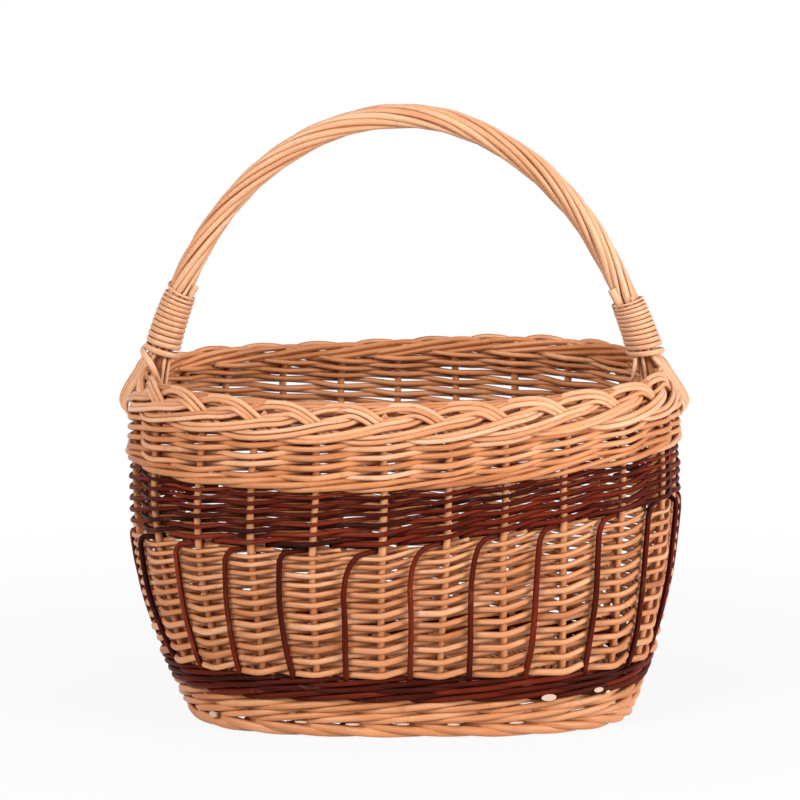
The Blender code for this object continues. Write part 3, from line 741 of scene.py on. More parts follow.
@dataclass
class DarkRods(Randing):
    """The dark rods: each rises as a bar between two stakes, bends right and is randed away in the band."""

    foot: float = 0.040
    bar_radius: float = 0.0023
    bar_out: float = 0.0058
    bend_height: float = 0.036
    blend_points: int = 24
    bar_keys: tuple = (
        # share of the height up to the bend, depth below the band in mm, places ahead, share of bar_out
        (0, 0, 0, -0.1), (0.12, 0, 0, 0.6), (0.38, 0, 0, 1), (0.72, 0, 0, 1), (1, 36, 0, 1),
        (1, 26, 0.005, 1), (1, 16.5, 0.03, 1), (1, 8.5, 0.09, 0.95), (1, 4.2, 0.16, 0.80),
        (1, 1.8, 0.24, 0.6), (1, -1.5, 0.5, -0.9))
    lean_levels: tuple = (0.045, 0.065, 0.09, 0.115, 0.145)
    bar_rows: tuple = (
        # number, how wide its bend is, how far aside it leans at each level in hundredths of a place
        (13, 0.3, 20, 16, 2, -3, 6), (14, 0.3, 7, 8, 7, 7, 8),
        (15, 0.35, -5, -6, -5, -4, 2), (16, 0.3, -3, -9, -12, -13, -8),
        (17, 1.2, -13, -11, -8, -8, -5), (18, 1.1, -8, -5, -1, -2, 0),
        (19, 0.8, -9, -7, -5, -6, 1), (20, 0.5, -12, -5, 0, 0, 4),
        (21, 0.5, 3, 2, 4, 6, 4), (22, 0.3, 18, 15, 9, 5, 4),
        (23, 0.3, 12, 12, 10, 8, 5))

    def bars(self, rng: np.random.Generator) -> Array:
        """Key points of every bar, from its foot to its bend."""
        count, number = self.wall.stakes, self.wall.numbers
        edge = self.low(number + 1.0)
        hook = rng.uniform(0.3, 1.1, (count, 1))
        lean = rng.normal(0, 0.03, (count, len(self.lean_levels)))
        for bar, bend, *shifts in self.bar_rows:
            hook[bar], lean[bar] = bend, 0.01 * np.array(shifts)
        share, under, ahead, out = np.array(self.bar_keys).T
        key = np.arange(len(share))
        last = key == key[-1]
        bent = (key > np.argmax(share)) & ~last
        under = MM * under * np.where(bent, 0.1 + 0.9 * hook, 1)
        straight = self.foot + (edge - self.bend_height - self.foot) * share
        level = np.where(share < 1, straight, edge - under)
        place = number + 0.5 + ahead * np.where(bent, 0.15 + 0.85 * hook, 1)
        lean = np.stack([np.interp(level[n], self.lean_levels, lean[n]) for n in range(count)])
        lean = np.where(last, 0, lean - self.wall.lean(place, level))
        return self.wall.at(place + lean, level, out * self.bar_out + rng.normal(0, 0.0002, len(key)))

    def build(self) -> None:
        """Join each bar to its strokes in the band as one rod."""
        rng = np.random.default_rng(self.seed)
        bundle = Bundle(self.name, rng)
        count = self.wall.stakes
        strokes, line, radius = self.lines(rng, 0.25, self.rows - 0.6)
        bar = through(np.concatenate([self.bars(rng), line[:, :1]], 1), 5)[:, :-1]
        thick = np.linspace(self.bar_radius, radius[:, 0].mean() * 1.05, bar.shape[1])
        thick = thick * uneven(rng, count, 0.06)
        blend = np.linspace(0, 1, self.blend_points)
        start = radius[:, :self.blend_points]
        radius[:, :self.blend_points] = thick[:, -1:] * (1 - blend) + start * blend
        full = np.concatenate([bar, line], 1)
        middles = np.repeat(self.wall.numbers + 0.5, bar.shape[1], 1)
        facing = self.wall.outward(np.concatenate([middles, strokes], 1))
        tone = rng.normal(0.55, 0.2, (count, 1)) + drift(rng, count, full.shape[1], 9, 0.15)
        bundle.lay(full, np.concatenate([thick, radius], 1), facing, tone=np.clip(tone, 0, 1))
        bundle.make(DARK, Slot.DARK, self.node)


@dataclass
class Wale:
    """Three-rod waling: every rod runs in front of two stakes and behind the third, rising to the right.

    Out and level follow a cycle of three stakes: up across the first two on the outside, over the
    others and in behind the third, then out again below them.
    """

    name: str
    wall: Wall
    node: str
    slot: Slot
    rounds: tuple
    seed: int
    stake_radius: float = 0.0027
    per_place: int = 8
    runs: int = 5
    start: float = 1.72
    rise_stops: tuple = ((0, -0.95), (0.5, 0), (1, 0.95), (1.5, 1.6), (2, 0.1), (2.5, -1.6))
    thick_stops: tuple = ((0.5, 1.06), (1.6, 0.9), (2.0, 0.8), (2.4, 0.9))

    def weave(self, bundle: Bundle, level: LevelAt, radius: float, forward: float, shift: int) -> None:
        """One round of waling, in runs of rods whose ends lie inside the basket.

        Args:
            bundle: what the rods are added to.
            level: the round's level at each place.
            radius: the rods' radius.
            forward: how far out the round stands.
            shift: places that the round starts later.
        """
        rng = bundle.rng
        cycle = 3 * self.wall.stakes // self.runs
        start = np.arange(self.runs)[:, None] * cycle + self.start
        place = start + np.linspace(0, cycle + 0.5, int((cycle + 0.5) * self.per_place))[None]
        shape = place.shape
        reach = self.stake_radius + 0.95 * radius
        out = cyclic(place, 3, ((0, reach), (0.5, reach + 0.3 * radius), (1, reach), (1.5, 0.1 * radius),
                                (2, -reach), (2.5, -0.1 * radius)))
        thick = radius * cyclic(place, 3, self.thick_stops) * uneven(rng, self.runs, 0.06)
        thick = thick * (1 + drift(rng, *shape, 20, 0.03))
        height = level(place) + cyclic(place, 3, self.rise_stops) * radius + drift(rng, *shape, 15, 0.0003)
        place = place + shift
        bundle.lay(self.wall.at(place, height, out + forward), thick, self.wall.outward(place))

    def build(self) -> None:
        """Lay every round."""
        bundle = Bundle(self.name, np.random.default_rng(self.seed), 10)
        for shift, (level, radius, forward) in enumerate(self.rounds):
            self.weave(bundle, level, radius, forward, shift)
        bundle.make(DARK if self.slot is Slot.DARK else LIGHT, self.slot, self.node)


@dataclass
class CutEnds:
    """Cut ends of the wales' rods that show at the front, each a short rod that points outwards."""

    wall: Wall
    ends: tuple = (
        # place, level, half breadth and half height in mm, how far its face stands out in mm, dark or pale
        (20.76, 0.0320, 6.4, 2.8, 8.2, True), (21.72, 0.0344, 4.6, 2.1, 8.6, True),
        (21.98, 0.0312, 2.4, 1.3, 7.8, True), (14.56, 0.0116, 4.4, 2.4, 7.2, False),
        (16.60, 0.0126, 5.0, 0.9, 7.2, False), (17.48, 0.0118, 5.6, 0.9, 7.4, False),
        (18.30, 0.0122, 5.4, 0.8, 7.2, False), (19.16, 0.0119, 5.0, 0.9, 7.2, False),
        (20.22, 0.0123, 5.8, 0.9, 7.4, False))

    def build(self) -> None:
        """One bundle for the dark rods' ends and one for the pale ones."""
        for name, is_dark, finish, slot in (
                ("dark_cut_ends", True, DARK, Slot.DARK), ("pale_cut_ends", False, LIGHT, Slot.PALE)):
            bundle = Bundle(name, np.random.default_rng(70), 12)
            for place, level, breadth, height, out, dark in self.ends:
                if dark == is_dark:
                    line = self.wall.at(place, level, MM * out * np.array([0.1, 0.4, 0.7, 0.97, 1.0]))
                    radius = MM * breadth * np.array([0.9, 1, 1, 1, 0.93])
                    bundle.lay(line, radius, UP, flat=height / breadth)
            bundle.make(finish, slot)


@dataclass
class FootBorder:
    """The border that the basket stands on: a thick rod from each stake over the next, down to the right."""

    wall: Wall
    levels: Levels
    radius: float = 0.0036
    keys: tuple = (
        # place, out in mm, level as a share of the border's height, breadth as a share
        (-0.75, -3.5, 0.78, 0.55), (-0.45, -1.2, 0.90, 0.75), (-0.10, 2.2, 0.84, 0.95),
        (0.35, 3.4, 0.62, 1.0), (0.80, 3.0, 0.44, 1.0), (1.20, 1.3, 0.33, 0.92), (1.55, -1.2, 0.30, 0.75),
        (1.85, -3.2, 0.34, 0.55))

    def build(self) -> None:
        """Each rod comes out over its neighbour, slopes down across a stake and a half and tucks in."""
        rng = np.random.default_rng(21)
        bundle = Bundle("foot_border_rods", rng, 12)
        count = self.wall.stakes
        ahead, out, height, breadth = through(self.keys, 5).T
        place = self.wall.numbers + ahead
        radius = self.radius * breadth * uneven(rng, count, 0.05)
        level = self.levels.foot_top * height + rng.normal(0, 0.0003, (count, 1))
        level = np.maximum(level, radius * 1.01)
        line = self.wall.at(place, level, MM * out + rng.normal(0, 0.0002, (count, 1)))
        bundle.lay(line, radius, self.wall.outward(place), flat=0.85)
        bundle.make(LIGHT, Slot.PALE, "foot_border")


@dataclass
class Rim:
    """The plaited rim: four strands, one repeat to a stake.

    Every strand sweeps slowly up to the right over two others and under a third, turns at the crest and
    falls quickly over one strand and under two.
    """

    wall: Wall
    tilt: float = math.radians(60)
    half_breadth: float = 0.0163
    inset: float = 0.0019
    rod: float = 0.0019
    inner_rod: float = 0.0024
    lift: float = 0.0024
    strands: int = 4
    crest_share: float = 0.528
    ends: tuple = (0.38, 0.46, 1.46, 1.58)
    across_stops: tuple = (
        (0, 1.0), (0.069, 0.94), (0.188, 0.62), (0.298, 0.225), (0.39, -0.07), (0.47, -0.60), (0.548, -0.95),
        (0.603, -1.0), (0.649, -0.95), (0.695, -0.78), (0.741, -0.46), (0.787, -0.01), (0.85, 0.53),
        (0.917, 0.88))
    over_stops: tuple = (
        (0, 0.15), (0.07, 0.8), (0.14, 1.0), (0.31, 1.0), (0.39, 0.1), (0.47, -1.0), (0.54, -0.4),
        (0.60, 0.3), (0.66, 0.9), (0.72, 1.1), (0.765, 0.1), (0.81, -1.0), (0.89, -1.1), (0.95, -0.6))
    new_stops: tuple = (
        # phase, across, over, aside in rods
        (0.520, 0.75, -2.4, 0), (0.522, 0.35, -2.3, 0), (0.528, -0.05, -1.9, 0.3), (0.545, -0.33, -1.0, 0.8),
        (0.575, -0.52, -0.2, 1.6), (0.612, -0.70, 0.25, 2.3), (0.655, -0.86, 0.8, 2.8),
        (0.695, -0.78, 1.0, 2.9), (0.741, -0.46, 0.6, 2.9), (0.787, -0.01, -0.7, 2.8),
        (0.84, 0.47, -1.5, 2.2), (0.90, 0.80, -1.7, 1.4))
    inner_stops: tuple = (
        # place, drop below the top and distance outwards in mm, gap between the two rods in mm
        (-0.65, 8.5, -5.0, 2.0), (-0.4, 5.2, -6.4, 3.6), (-0.1, 3.4, -8.4, 4.4), (0.3, 4.2, -10.2, 4.4),
        (0.7, 6.0, -11.5, 4.4), (1.05, 8.0, -11.9, 4.0), (1.35, 9.6, -10.8, 3.2), (1.65, 10.2, -8.2, 2.2),
        (1.9, 10.2, -5.6, 1.4))
    tips: tuple = (13.2, 16.15, 18.1, 1.1, 5.2, 8.1, 10.2)

    @property
    def swing(self) -> float:
        """How far the middles of the two lanes swing to either side."""
        return self.half_breadth - self.rod * 1.96

    def point(self, place: Array, across: Array, over: Array) -> Array:
        """A point of the rim: across runs outwards and down its slanting face, over runs out of that face."""
        sin, cos = math.sin(self.tilt), math.cos(self.tilt)
        middle = self.wall.top - self.half_breadth * sin
        level = middle - across * sin + over * cos
        line = self.wall.at(place, middle + 0 * level, across * cos + over * sin - self.inset)
        line[..., 2] = level - self.wall.dip(place)
        return line

    def strand(self, bundle: Bundle, phase: Array, across: Array, over: Array, aside: Array,
               thick: Array) -> None:
        """A rod for every stake along one lane of the plait, aside being how far it lies off the lane."""
        place = self.strands * (phase - self.crest_share) + self.wall.numbers
        d_run = np.gradient(place * self.wall.spacing, axis=1)
        d_across = np.gradient(across + 0 * place, axis=1)
        size = np.hypot(d_run, d_across)
        place = place - d_across / size * aside / self.wall.spacing
        line = self.point(place, across + d_run / size * aside, over)
        bundle.lay(line, thick, self.wall.outward(place) + 0.6 * UP)

    def plait(self, bundle: Bundle) -> None:
        """Two full lanes whose ends lie under a crossing, and the rod that joins them at each crest."""
        rng, count = bundle.rng, self.wall.stakes
        phase = np.linspace(self.ends[0], self.ends[-1], 88)
        across = self.swing * cyclic(phase, 1, self.across_stops)
        over = self.lift * cyclic(phase, 1, self.over_stops)
        shape = (count, len(phase))
        for lane in (-1, 1):
            aside = lane * self.rod * 0.96 + drift(rng, *shape, 6, 0.0003)
            thick = self.rod * uneven(rng, count, 0.06) * np.interp(phase, self.ends, [0.35, 1, 1, 0.35])
            self.strand(bundle, phase[None], across, over + drift(rng, *shape, 6, 0.0002), aside, thick)
        phase, across, over, aside = through(self.new_stops, 6).T
        shape = (count, len(phase))
        thick = self.rod * uneven(rng, count, 0.06) * np.linspace(1.06, 0.94, len(phase))
        over = self.lift * over + drift(rng, *shape, 4, 0.0001)
        aside = self.rod * 0.98 * aside + drift(rng, *shape, 4, 0.0002)
        self.strand(bundle, phase[None], self.swing * across, over, aside, thick)

    def line_inside(self, bundle: Bundle) -> None:
        """The pair of rods along the inside of the plait at every stake."""
        rng, count = bundle.rng, self.wall.stakes
        ahead, low, out, gap = through(self.inner_stops, 6).T
        shape = (count, len(ahead))
        taper = np.interp(np.linspace(0, 1, len(ahead)), [0, 0.15, 0.8, 1], [0.3, 1, 0.9, 0.35])
        for second in (0, 1):
            place = self.wall.numbers + ahead - 0.06 * second
            dip = self.wall.dip(place)
            front = np.clip(dip, 0, None)
            drop = MM * (low * (1 - 85 * front) + gap * second) + drift(rng, *shape, 4, 0.0002)
            away = MM * (out - 0.4 * second) + drift(rng, *shape, 4, 0.0002)
            thick = self.inner_rod * uneven(rng, count, 0.05) * taper
            line = self.wall.at(place, self.wall.top - drop - dip, away)
            # painted shade and light: the inner rods' tone is kept low at the back, where shade falls on
            # them, and raised in front with the rim's dip
            tone = rng.uniform(0.1, 0.5, (count, 1)) + 50 * front
            bundle.lay(line, thick, UP - 0.5 * self.wall.outward(place), tone=tone)

    def lay_tips(self, bundle: Bundle) -> None:
        """The cut tips that stick out of the plait here and there."""
        rng = bundle.rng
        for place in self.tips:
            along = place + np.array([-0.22, -0.12, -0.02 + rng.uniform(0, 0.06)])
            across = self.swing * np.array([0.35, -0.12, -0.48 - rng.uniform(0, 0.12)])
            over = self.lift * np.array([-1.7, -1.3, -0.3 + rng.uniform(0, 0.5)])
            line = through(self.point(along, across, over), 5)
            bundle.lay(line, self.rod * rng.uniform(0.75, 0.95), UP)

    def build(self) -> None:
        """The plait, the rods inside it and its cut tips."""
        rng = np.random.default_rng(33)
        plait, inside = Bundle("plaited_rim_rods", rng, 10), Bundle("rim_inner_rods", rng, 10)
        self.plait(plait)
        self.line_inside(inside)
        self.lay_tips(plait)
        plait.make(PALE, Slot.PALE, "plaited_rim")
        inside.make(LIGHT, Slot.PALE)


@dataclass(frozen=True)
class Binding:
    """One binding: where it lies on the rope, its turns, and the loose strips and cut ends about it."""

    name: str
    side: int
    turns: float
    lifts: tuple
    first: float
    seed: int
    start_lift: float
    end_drop: float
    wider: float
    shift: float
    strips: tuple
    swell: float = 0.0012
    top_pitch: float = 0.78
    flat: float = 0.62
    points_per_turn: int = 24


@dataclass
class Handle:
    """The bow with the rods of its rope, which fan over the rim below their bindings."""

    wall: Wall
    spring_drop: float = 0.050
    leg_depth: float = 0.117
    bow_radius: float = 0.0046
    rope_rods: int = 9
    rope_radius: float = 0.00765
    rod: float = 0.00245
    lay_share: float = 17 / 9
    pull: float = 0.005
    pull_run: float = 0.08
    pull_height: float = 0.068
    thin_by: float = 0.0007
    thin_share: float = 0.22
    thin_width: float = 0.15
    rope_inset: float = 0.0009
    inner_steps: float = 2.5
    bound: tuple = (0.0100, 0.0540)
    fans: tuple = (
        # distance from the middle and level in mm, how far rods in front lie inwards and their spread,
        # from the tip up, for the left fan and then the right one
        ((196, 228, 0.3, 0.9), (205, 228.8, 0.6, 1.0), (213.2, 232.2, 0.9, 1.1), (215, 238.8, 1.0, 1.1),
         (211.4, 248.2, 1.0, 1.05), (204.2, 259.5, 1.0, 1.0), (198.2, 269, 0.8, 0.9)),
        ((195, 226.2, 0.3, 0.9), (204, 230, 0.6, 1.0), (211.9, 231.5, 0.7, 1.1), (215.7, 237.2, 0.9, 1.1),
         (211.2, 247.2, 0.9, 1.05), (203.3, 259, 0.9, 1.0), (196.5, 269, 0.7, 0.9)))
    bindings: tuple = (
        # each strip's points in mm: x, y, z and half breadth
        Binding("binding_left", 1, 11.9, (0.0118, 0.0578), TAU + 0.9, 50, 0.0050, 0.0026, 0.0012, 0.0018, (
            ((-190, 8, 280, 1.6), (-195.5, 4, 278.5, 2.0), (-197.4, -4, 276.5, 2.3),
             (-195.5, -12, 273.5, 2.5), (-191.4, -16.5, 268.5, 2.6), (-188.2, -16.5, 262, 2.4),
             (-185.8, -12, 255, 2.0), (-184, -5, 248, 1.8)),
            ((-165, -4.5, 309, 2.0), (-161.2, -6.2, 318, 2.1), (-156.5, -6.8, 326.2, 2.1)))),
        Binding("binding_right", -1, 12.0, (0.0110, 0.0510), 2.2, 51, 0.0, 0.0025, 0.0022, 0.0, (
            ((175.2, -6, 276, 1.2), (175, -8, 270, 1.6), (174, -8.8, 262, 1.6), (172.8, -7, 254, 1.4)),
            ((165.5, -5, 306, 2.8), (161, -6.8, 315, 3.0), (156.7, -7.8, 323.5, 3.0)),
            ((172.2, -9, 313, 1.0), (172.4, -10.4, 316, 1.2), (172, -10, 318.2, 0.9)))))
    table: tuple = field(init=False)
    run: float = field(init=False)
    low: float = field(init=False)
    high: float = field(init=False)

    def __post_init__(self) -> None:
        """Draw the bow: half an oval between two upright legs, as x, z and the run along it."""
        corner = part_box("handle_bow")[1]
        top, half = corner.z - self.bow_radius, corner.x - self.bow_radius
        spring, foot = self.wall.top - self.spring_drop, self.wall.top - self.leg_depth
        angle = np.linspace(math.pi, 0, 4000)
        x = np.concatenate([[-half], half * np.cos(angle), [half]])
        z = np.concatenate([[foot], spring + (top - spring) * np.sin(angle), [foot]])
        self.table = x, z, run_along(x, z)
        self.run = self.table[2][-1]
        self.low, self.high = map(self.run_to, self.bound)

    def run_to(self, lift: float) -> float:
        """How far along its rising half the bow reaches a height above the rim."""
        _, z, along = self.table
        rising = slice(0, len(z) // 2)
        return float(np.interp(self.wall.top + lift, z[rising], along[rising]))

    def around(self, run: Array, radius: Array | float = 0.0, angle: Array | float = 0.0) -> Array:
        """Points about the bow: angle 0 faces out of the arch and a quarter turn faces the back.

        The right leg is pulled inwards above the rim, as it is in the photograph.
        """
        x, z, along = self.table
        run, radius, angle = np.broadcast_arrays(run, radius, angle)
        near, far = run - self.bow_radius, run + self.bow_radius
        ahead = np.stack([np.interp(far, along, v) - np.interp(near, along, v) for v in (x, z)])
        ahead /= np.hypot(*ahead)
        aside = radius * np.cos(angle)
        at_x = np.interp(run, along, x) - aside * ahead[1]
        level = np.interp(run, along, z) + aside * ahead[0]
        right = np.clip(at_x / self.pull_run, 0, 1)
        above = np.clip((level - self.wall.top) / self.pull_height, 0, 1)
        pulled = self.pull * right**2 * (3 - 2 * right) * above * (0.5 + 1.5 * above - above**2)
        return np.stack([at_x - pulled, radius * np.sin(angle), level], -1)

    def run_at(self, line: Array) -> Array:
        """How far along the bow each point of a line lies, by its turn about the middle of the arch."""
        x, z, along = self.table
        spring = self.wall.top - self.spring_drop
        turn = np.arctan2(line[:, 2] - spring, line[:, 0])
        return np.interp(-turn, -np.arctan2(z - spring, x)[1:-1], along[1:-1])

    def build_bow(self) -> None:
        """The thick rod inside the rope."""
        bundle = Bundle("handle_bow_rod", np.random.default_rng(40), 12)
        line = self.around(np.linspace(0, self.run, 160))
        bundle.lay(line, self.bow_radius, np.array([0, 1, 0.0]))
        bundle.make(LIGHT, Slot.LIGHT, "handle_bow")

    def tail(self, turn: float, side: int) -> Array:
        """Key points of a rope rod's end from the tip up.

        Args:
            turn: where the rod lies round the rope; those that face inwards run down inside the rim.
            side: 1 for the left fan and -1 for the right one.

        Returns:
            Points of shape (keys, 3).
        """
        steps = turn * self.rope_rods / TAU
        if abs(steps) > self.inner_steps:
            run = self.low - np.array([0.030, 0.018, 0.006])
            run = run if side > 0 else self.run - run
            return self.around(run, self.rope_radius - 0.0007, turn)
        x, z, inward, spread = np.array(self.fans[int(side < 0)]).T
        in_front = 2 - steps
        y = -0.004 + 1.5 * self.rod * steps * spread
        return np.stack([MM * side * (1.25 * inward * in_front - x), y, MM * (z - 0.5 * in_front)], -1)

    def build_rope(self) -> None:
        """The rope's rods: laid round the bow with a slow twist, held in both bindings."""
        rng = np.random.default_rng(41)
        bundle = Bundle("handle_rope_rods", rng, 10)
        full = self.lay_share * TAU
        low, high = self.low, self.high
        ends = np.array([low + 0.005, (2 * low + high) / 3, (low + 2 * high) / 3])
        run = np.concatenate([ends, np.linspace(high, self.run - high, 60), self.run - ends[::-1]])
        share = np.clip((run - high) / (self.run - 2 * high), 0, 1)
        for number in range(self.rope_rods):
            first = (number * TAU / self.rope_rods + math.pi) % TAU - math.pi
            last = (first - full + math.pi) % TAU - math.pi
            angle = first - full * share + drift(rng, 1, len(run), 7, 0.05)[0]
            thinner = self.thin_by * np.exp(-((share - self.thin_share) / self.thin_width)**2)
            reach = self.rope_radius - self.rope_inset - thinner
            middle = self.around(run, reach + drift(rng, 1, len(run), 9, 0.0002)[0], angle)
            line = through(np.concatenate([self.tail(first, 1), middle, self.tail(last, -1)[::-1]]), 4)
            taper = np.linspace(1.1, 0.9, len(line))[:: 1 if number % 2 else -1]
            radius = self.rod * taper * (1 + rng.normal(0, 0.05))
            radius = radius * (1 + drift(rng, 1, len(line), 30, 0.02)[0])
            point = np.arange(len(line))
            radius *= np.interp(np.minimum(point, point[::-1]), [0, 26, 34], [0.60, 0.72, 1.0])
            away = line - self.around(np.clip(self.run_at(line), low, self.run - low))
            bundle.lay(line, radius, away)
        nodes = (f"handle_rope_rod_{n + 1}" for n in range(self.rope_rods))
        bundle.make(HANDLE, Slot.LIGHT, *nodes)

    def bind(self, binding: Binding) -> None:
        """A binding: a flattened rod wound down the rope, thin at its top and broad at its foot."""
        rng = np.random.default_rng(binding.seed)
        bundle = Bundle(f"{binding.name}_rod", rng, 12)
        turns, top_pitch = binding.turns, binding.top_pitch
        turn = np.linspace(0, turns, int(turns * binding.points_per_turn) + 1)
        share = turn / turns
        low, high = map(self.run_to, binding.lifts)
        run = high - (high - low) * (share * top_pitch + (1 - top_pitch) * share**2)
        run = run + binding.start_lift * np.clip(1 - 2 * turn, 0, 1)**2
        run = run - binding.end_drop * np.clip(turn - turns + 1.15, 0, 1)**1.5
        run = run if binding.side > 0 else self.run - run
        pitch = (high - low) / turns * (top_pitch + 2 * (1 - top_pitch) * share)
        ends = np.interp(turn, [0, 1.2, 2.2, turns - 1, turns], [0.66, 0.75, 1.0, 1.0, 1.15])
        radius = pitch * 0.48 * ends * (1 + drift(rng, 1, len(turn), 14, 0.03)[0])
        reach = self.rope_radius + self.rod + binding.wider + binding.swell * share
        line = self.around(run, reach, binding.first - TAU * turn * binding.side)
        line[:, 0] += binding.shift * (1 - share)
        bundle.lay(line, radius, line - self.around(run), binding.flat, tone=np.array([0.62]))
        for strip in binding.strips:
            keys = MM * np.array(strip)
            at = np.linspace(0, len(keys) - 1, 6 * (len(keys) - 1) + 1)
            breadth = np.interp(at, np.arange(len(keys)), keys[:, 3])
            bundle.lay(through(keys[:, :3], 6), breadth, np.array([0.0, -1, 0.2]), 0.6, np.array([0.8]))
        bundle.make(HANDLE, Slot.PALE, binding.name)

    def build(self) -> None:
        """The bow, its rope and both bindings."""
        self.build_bow()
        self.build_rope()
        for binding in self.bindings:
            self.bind(binding)


@dataclass
class Base:
    """The base: crossed sticks, fanned at both ends, with rods woven round them."""

    wall: Wall
    level: float = field(default_factory=lambda: sum(span("base_sticks")) / 2)
    cross: int = 5
    long: int = 5
    cross_spacing: float = 0.022
    long_spacing: float = 0.0056
    fan_run: float = 0.008
    fan_angle: float = math.radians(28)
    stick: float = 0.0028
    crossing: float = 0.0008
    weaver: float = 0.0020
    rounds: int = 30
    core: float = 0.024
    margin: float = 0.004

    def to_oval(self, start: Array, way: Array, length: Array, width: Array) -> Array:
        """Where rays from inside an oval meet it, found by halving."""
        low, high = 0 * length, length + width
        for _ in range(40):
            middle = (low + high) / 2
            x, y = (start + way * middle[:, None]).T
            inside = np.abs(x / length) ** self.wall.power + np.abs(y / width) ** self.wall.power < 1
            low, high = np.where(inside, middle, low), np.where(inside, high, middle)
        return start + way * low[:, None]

    def rays(self) -> tuple[Array, Array]:
        """Each stick's outer ends as rays, in order round the base."""
        reach = (self.cross - 1) / 2 * self.cross_spacing
        steps = np.arange(self.long) - (self.long - 1) / 2
        starts, turns = [], []
        for side in (1, -1):
            starts += [(side * (reach + self.fan_run), side * s * self.long_spacing) for s in steps]
            turns += [s * self.fan_angle + (side < 0) * math.pi for s in steps]
            starts += [(side * x, 0) for x in np.linspace(reach, -reach, self.cross)]
            turns += [side * math.pi / 2] * self.cross
        return np.array(starts), np.stack([np.cos(turns), np.sin(turns)], 1)

    def raised(self, flat: Array, level: Array | float) -> Array:
        """Points of the base's plan, set to their level and moved aside with the foot."""
        x, y = flat.T
        return np.stack([x + self.wall.aside(self.level), y, level + 0 * x], 1)

    def build(self) -> None:
        """Sticks first, then two rods that chase each other outwards, one over and one under."""
        starts, ways = self.rays()
        rays, half = len(starts), self.long + self.cross
        inset = float(self.wall.draw_in(np.array(self.level))) + self.margin
        length, width = self.wall.half_length - inset, self.wall.half_width - inset
        full = np.ones(rays)
        tips = self.to_oval(starts, ways, full * length, full * width)
        sticks = Bundle("base_stick_rods", np.random.default_rng(60), 10)
        for one in range(half):
            is_long = one < self.long
            other = (half if is_long else 2 * half) + self.long - 1 - one
            middle = [starts[one], starts[other]] if is_long else []
            flat = np.array([tips[one], *middle, tips[other]])
            level = self.level + (self.crossing if is_long else -self.crossing)
            sticks.lay(through(self.raised(flat, level), 12), self.stick, UP)
        sticks.make(LIGHT, Slot.PALE, "base_sticks")
        for number in (0, 1):
            rng = np.random.default_rng(61 + number)
            weave = Bundle(f"base_weaver_{number + 1}", rng)
            step = np.arange(self.rounds * rays // 2 + 1)
            grown = self.core + (width - self.core - self.weaver) * step / step[-1]
            ray = step % rays
            flat = self.to_oval(starts[ray], ways[ray], length - width + grown, grown)
            side = 1 - 2 * ((step + number) % 2)
            line = through(self.raised(flat, self.level + side * (self.stick + self.weaver * 0.9)), 4)
            weave.lay(line, self.weaver * (1 + drift(rng, 1, len(line), 90, 0.06)[0]), UP)
            weave.make(LIGHT, Slot.PALE, f"base_weave_{number + 1}")


# ---- the studio ----


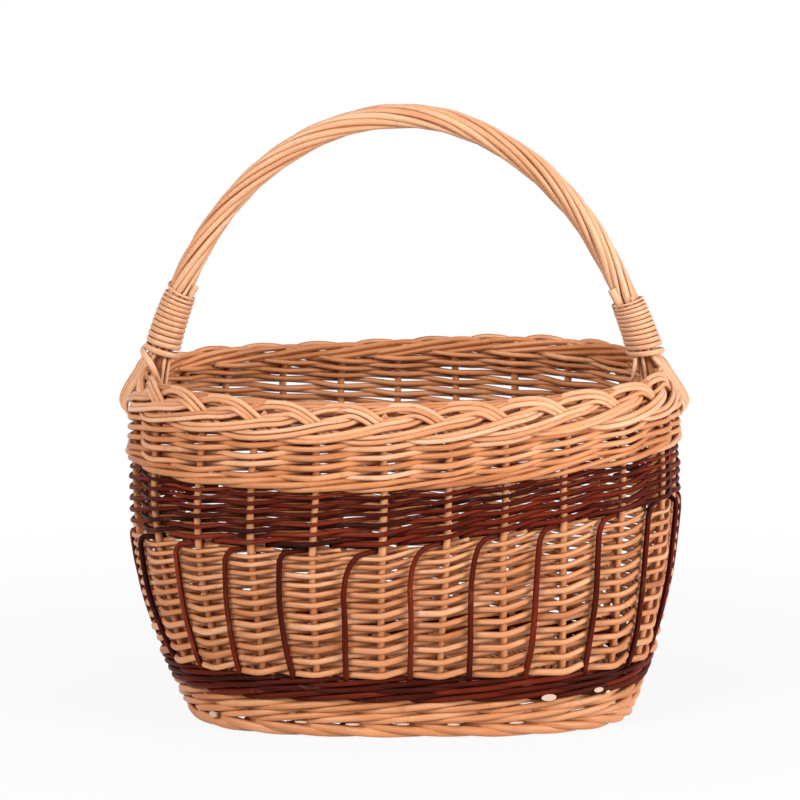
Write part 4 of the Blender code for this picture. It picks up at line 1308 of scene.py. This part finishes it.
@dataclass
class Studio:
    """A pale floor, soft lights and the photograph's camera."""

    camera_x: float = -0.003
    target_level: float = 0.2377
    distance: float = 3.5
    elevation: float = math.radians(9.3)
    lens: float = 207.4
    sky: float = 0.26
    floor_reach: float = 2.5
    floor_depth: float = 0.0002
    lamps: tuple = (
        # name, place, size, power
        ("key_lamp", (-1.6, -2.3, 1.8), 1.1, 71),
        ("fill_lamp", (2.6, -1.6, 1.0), 1.4, 95),
        ("top_lamp", (0.2, 0.3, 2.6), 1.4, 8))

    def seen(self, sheet: Sheet) -> Wire:
        """1 for rays from the camera or through gloss or clear pieces, and 0 for the light that falls."""
        names = ("Is Camera Ray", "Is Glossy Ray", "Is Transmission Ray")
        first, second, third = (sheet.node("ShaderNodeLightPath", out=name) for name in names)
        return first + second + third

    def floor(self) -> None:
        """A wide pale plane that keeps the basket's shadow and fades to white."""
        reach = self.floor_reach
        corners = [(-reach, -reach, 0), (reach, -reach, 0), (reach, reach, 0), (-reach, reach, 0)]
        mesh = bpy.data.meshes.new("floor")
        mesh.from_pydata(corners, [], [(0, 1, 2, 3)])
        plane = stand("floor", mesh)
        plane.location.z = -self.floor_depth
        made, sheet, shader = Sheet.start("pale_floor")
        sheet.fill(shader, {"Base Color": (0.74, 0.74, 0.74, 1), "Roughness": 0.9})
        place = sheet.node("ShaderNodeTexCoord", out="Object")
        far = sheet.node("ShaderNodeVectorMath", {"operation": "LENGTH"}, {0: place}, out="Value")
        share = self.seen(sheet) * (far.step(0.25, 0.9) * 0.11 + 0.89)
        white = sheet.node("ShaderNodeEmission", None, {"Color": (1, 1, 1, 1), "Strength": 1.0})
        shades = {0: share, 1: Wire(sheet, shader.outputs[0]), 2: white}
        mixed = sheet.node("ShaderNodeMixShader", None, shades)
        sheet.fill(made.node_tree.nodes["Material Output"], {"Surface": mixed})
        mesh.materials.append(made)

    def world(self) -> None:
        """An even pale sky that the camera sees as white."""
        world = bpy.data.worlds.new("studio")
        bpy.context.scene.world = world
        world.use_nodes = True
        sheet = Sheet(world.node_tree)
        strength = self.seen(sheet) * (1 - self.sky) + self.sky
        sheet.fill(world.node_tree.nodes["Background"], {"Color": (1, 1, 1, 1), "Strength": strength})

    def lamp(self, name: str, place: tuple, size: float, power: float) -> None:
        """A soft square lamp that faces the basket."""
        light = bpy.data.lights.new(name, "AREA")
        light.size, light.energy = size, power
        lamp = stand(name, light)
        lamp.location = place
        x, y, z = np.array([0, 0, 0.2]) - np.array(place)
        lamp.rotation_euler = (math.atan2(math.hypot(x, y), -z), 0, math.atan2(-x, y))

    def camera(self) -> None:
        """The camera at the photograph's angle."""
        data = bpy.data.cameras.new("camera")
        data.lens, data.sensor_width, data.clip_end = self.lens, 36, 50
        camera = stand("camera", data)
        away, up = self.distance * math.cos(self.elevation), self.distance * math.sin(self.elevation)
        camera.location = (self.camera_x, -away, self.target_level + up)
        camera.rotation_euler = (math.pi / 2 - self.elevation, 0, 0)
        bpy.context.scene.camera = camera

    def build(self) -> None:
        """Set the studio up."""
        bpy.context.scene.view_settings.view_transform = "Standard"
        self.floor()
        self.world()
        for lamp in self.lamps:
            self.lamp(*lamp)
        self.camera()


def main() -> None:
    """Build the basket piece by piece, then the studio round it."""
    logging.basicConfig(level=logging.INFO, format="%(message)s")
    wall = Wall()
    levels = Levels(wall)
    foot, dark, lower = levels.foot_wale, levels.dark_wale[0], levels.lower[0]
    pieces = [
        Base(wall),
        FootBorder(wall, levels),
        Stakes(wall, levels),
        Wale("foot_wale_rods", wall, "foot_wale", Slot.PALE, (
            # level, radius, how far out
            (even(foot[0] + 0.0052), 0.0024, -0.0012),
            (even(foot[1] - 0.0028), 0.0024, -0.0016)), 11),
        Wale("dark_wale_rods", wall, "lower_wale_and_bars", Slot.DARK, (
            (even(dark + 0.0046), 0.0022, -0.0004),
            (even((dark + lower) / 2 + 0.0006), 0.0021, 0.0004),
            (even(lower - 0.0034), 0.0018, 0.0010)), 12),
        Randing("lower_weave_rods", wall, 24, even(lower), levels.band_low, 0.00275, 0.0016, 5,
                "lower_side_weave", taper=0.6),
        DarkRods("dark_band_rods", wall, 13, levels.band_low, levels.band_high, 0.0018, 0.0012, 6,
                 "dark_band_weave", first_front=False, climb=0.75, foot=lower - 0.006),
        Wale("upper_wale_rods", wall, "upper_wale", Slot.PALE, (
            (lambda place: levels.band_high(place) + 0.0040, 0.0021, 0.0),), 13),
        Randing("upper_weave_rods", wall, 13, levels.upper_low, levels.upper_high, 0.0023, 0.0020, 8,
                "upper_side_weave", climb=0.4, level_drift=0.0005, taper=0.82),
        CutEnds(wall),
        Rim(wall),
        Handle(wall),
    ]
    for piece in pieces:
        piece.build()
    Studio().build()


if __name__ == "__main__":
    main()
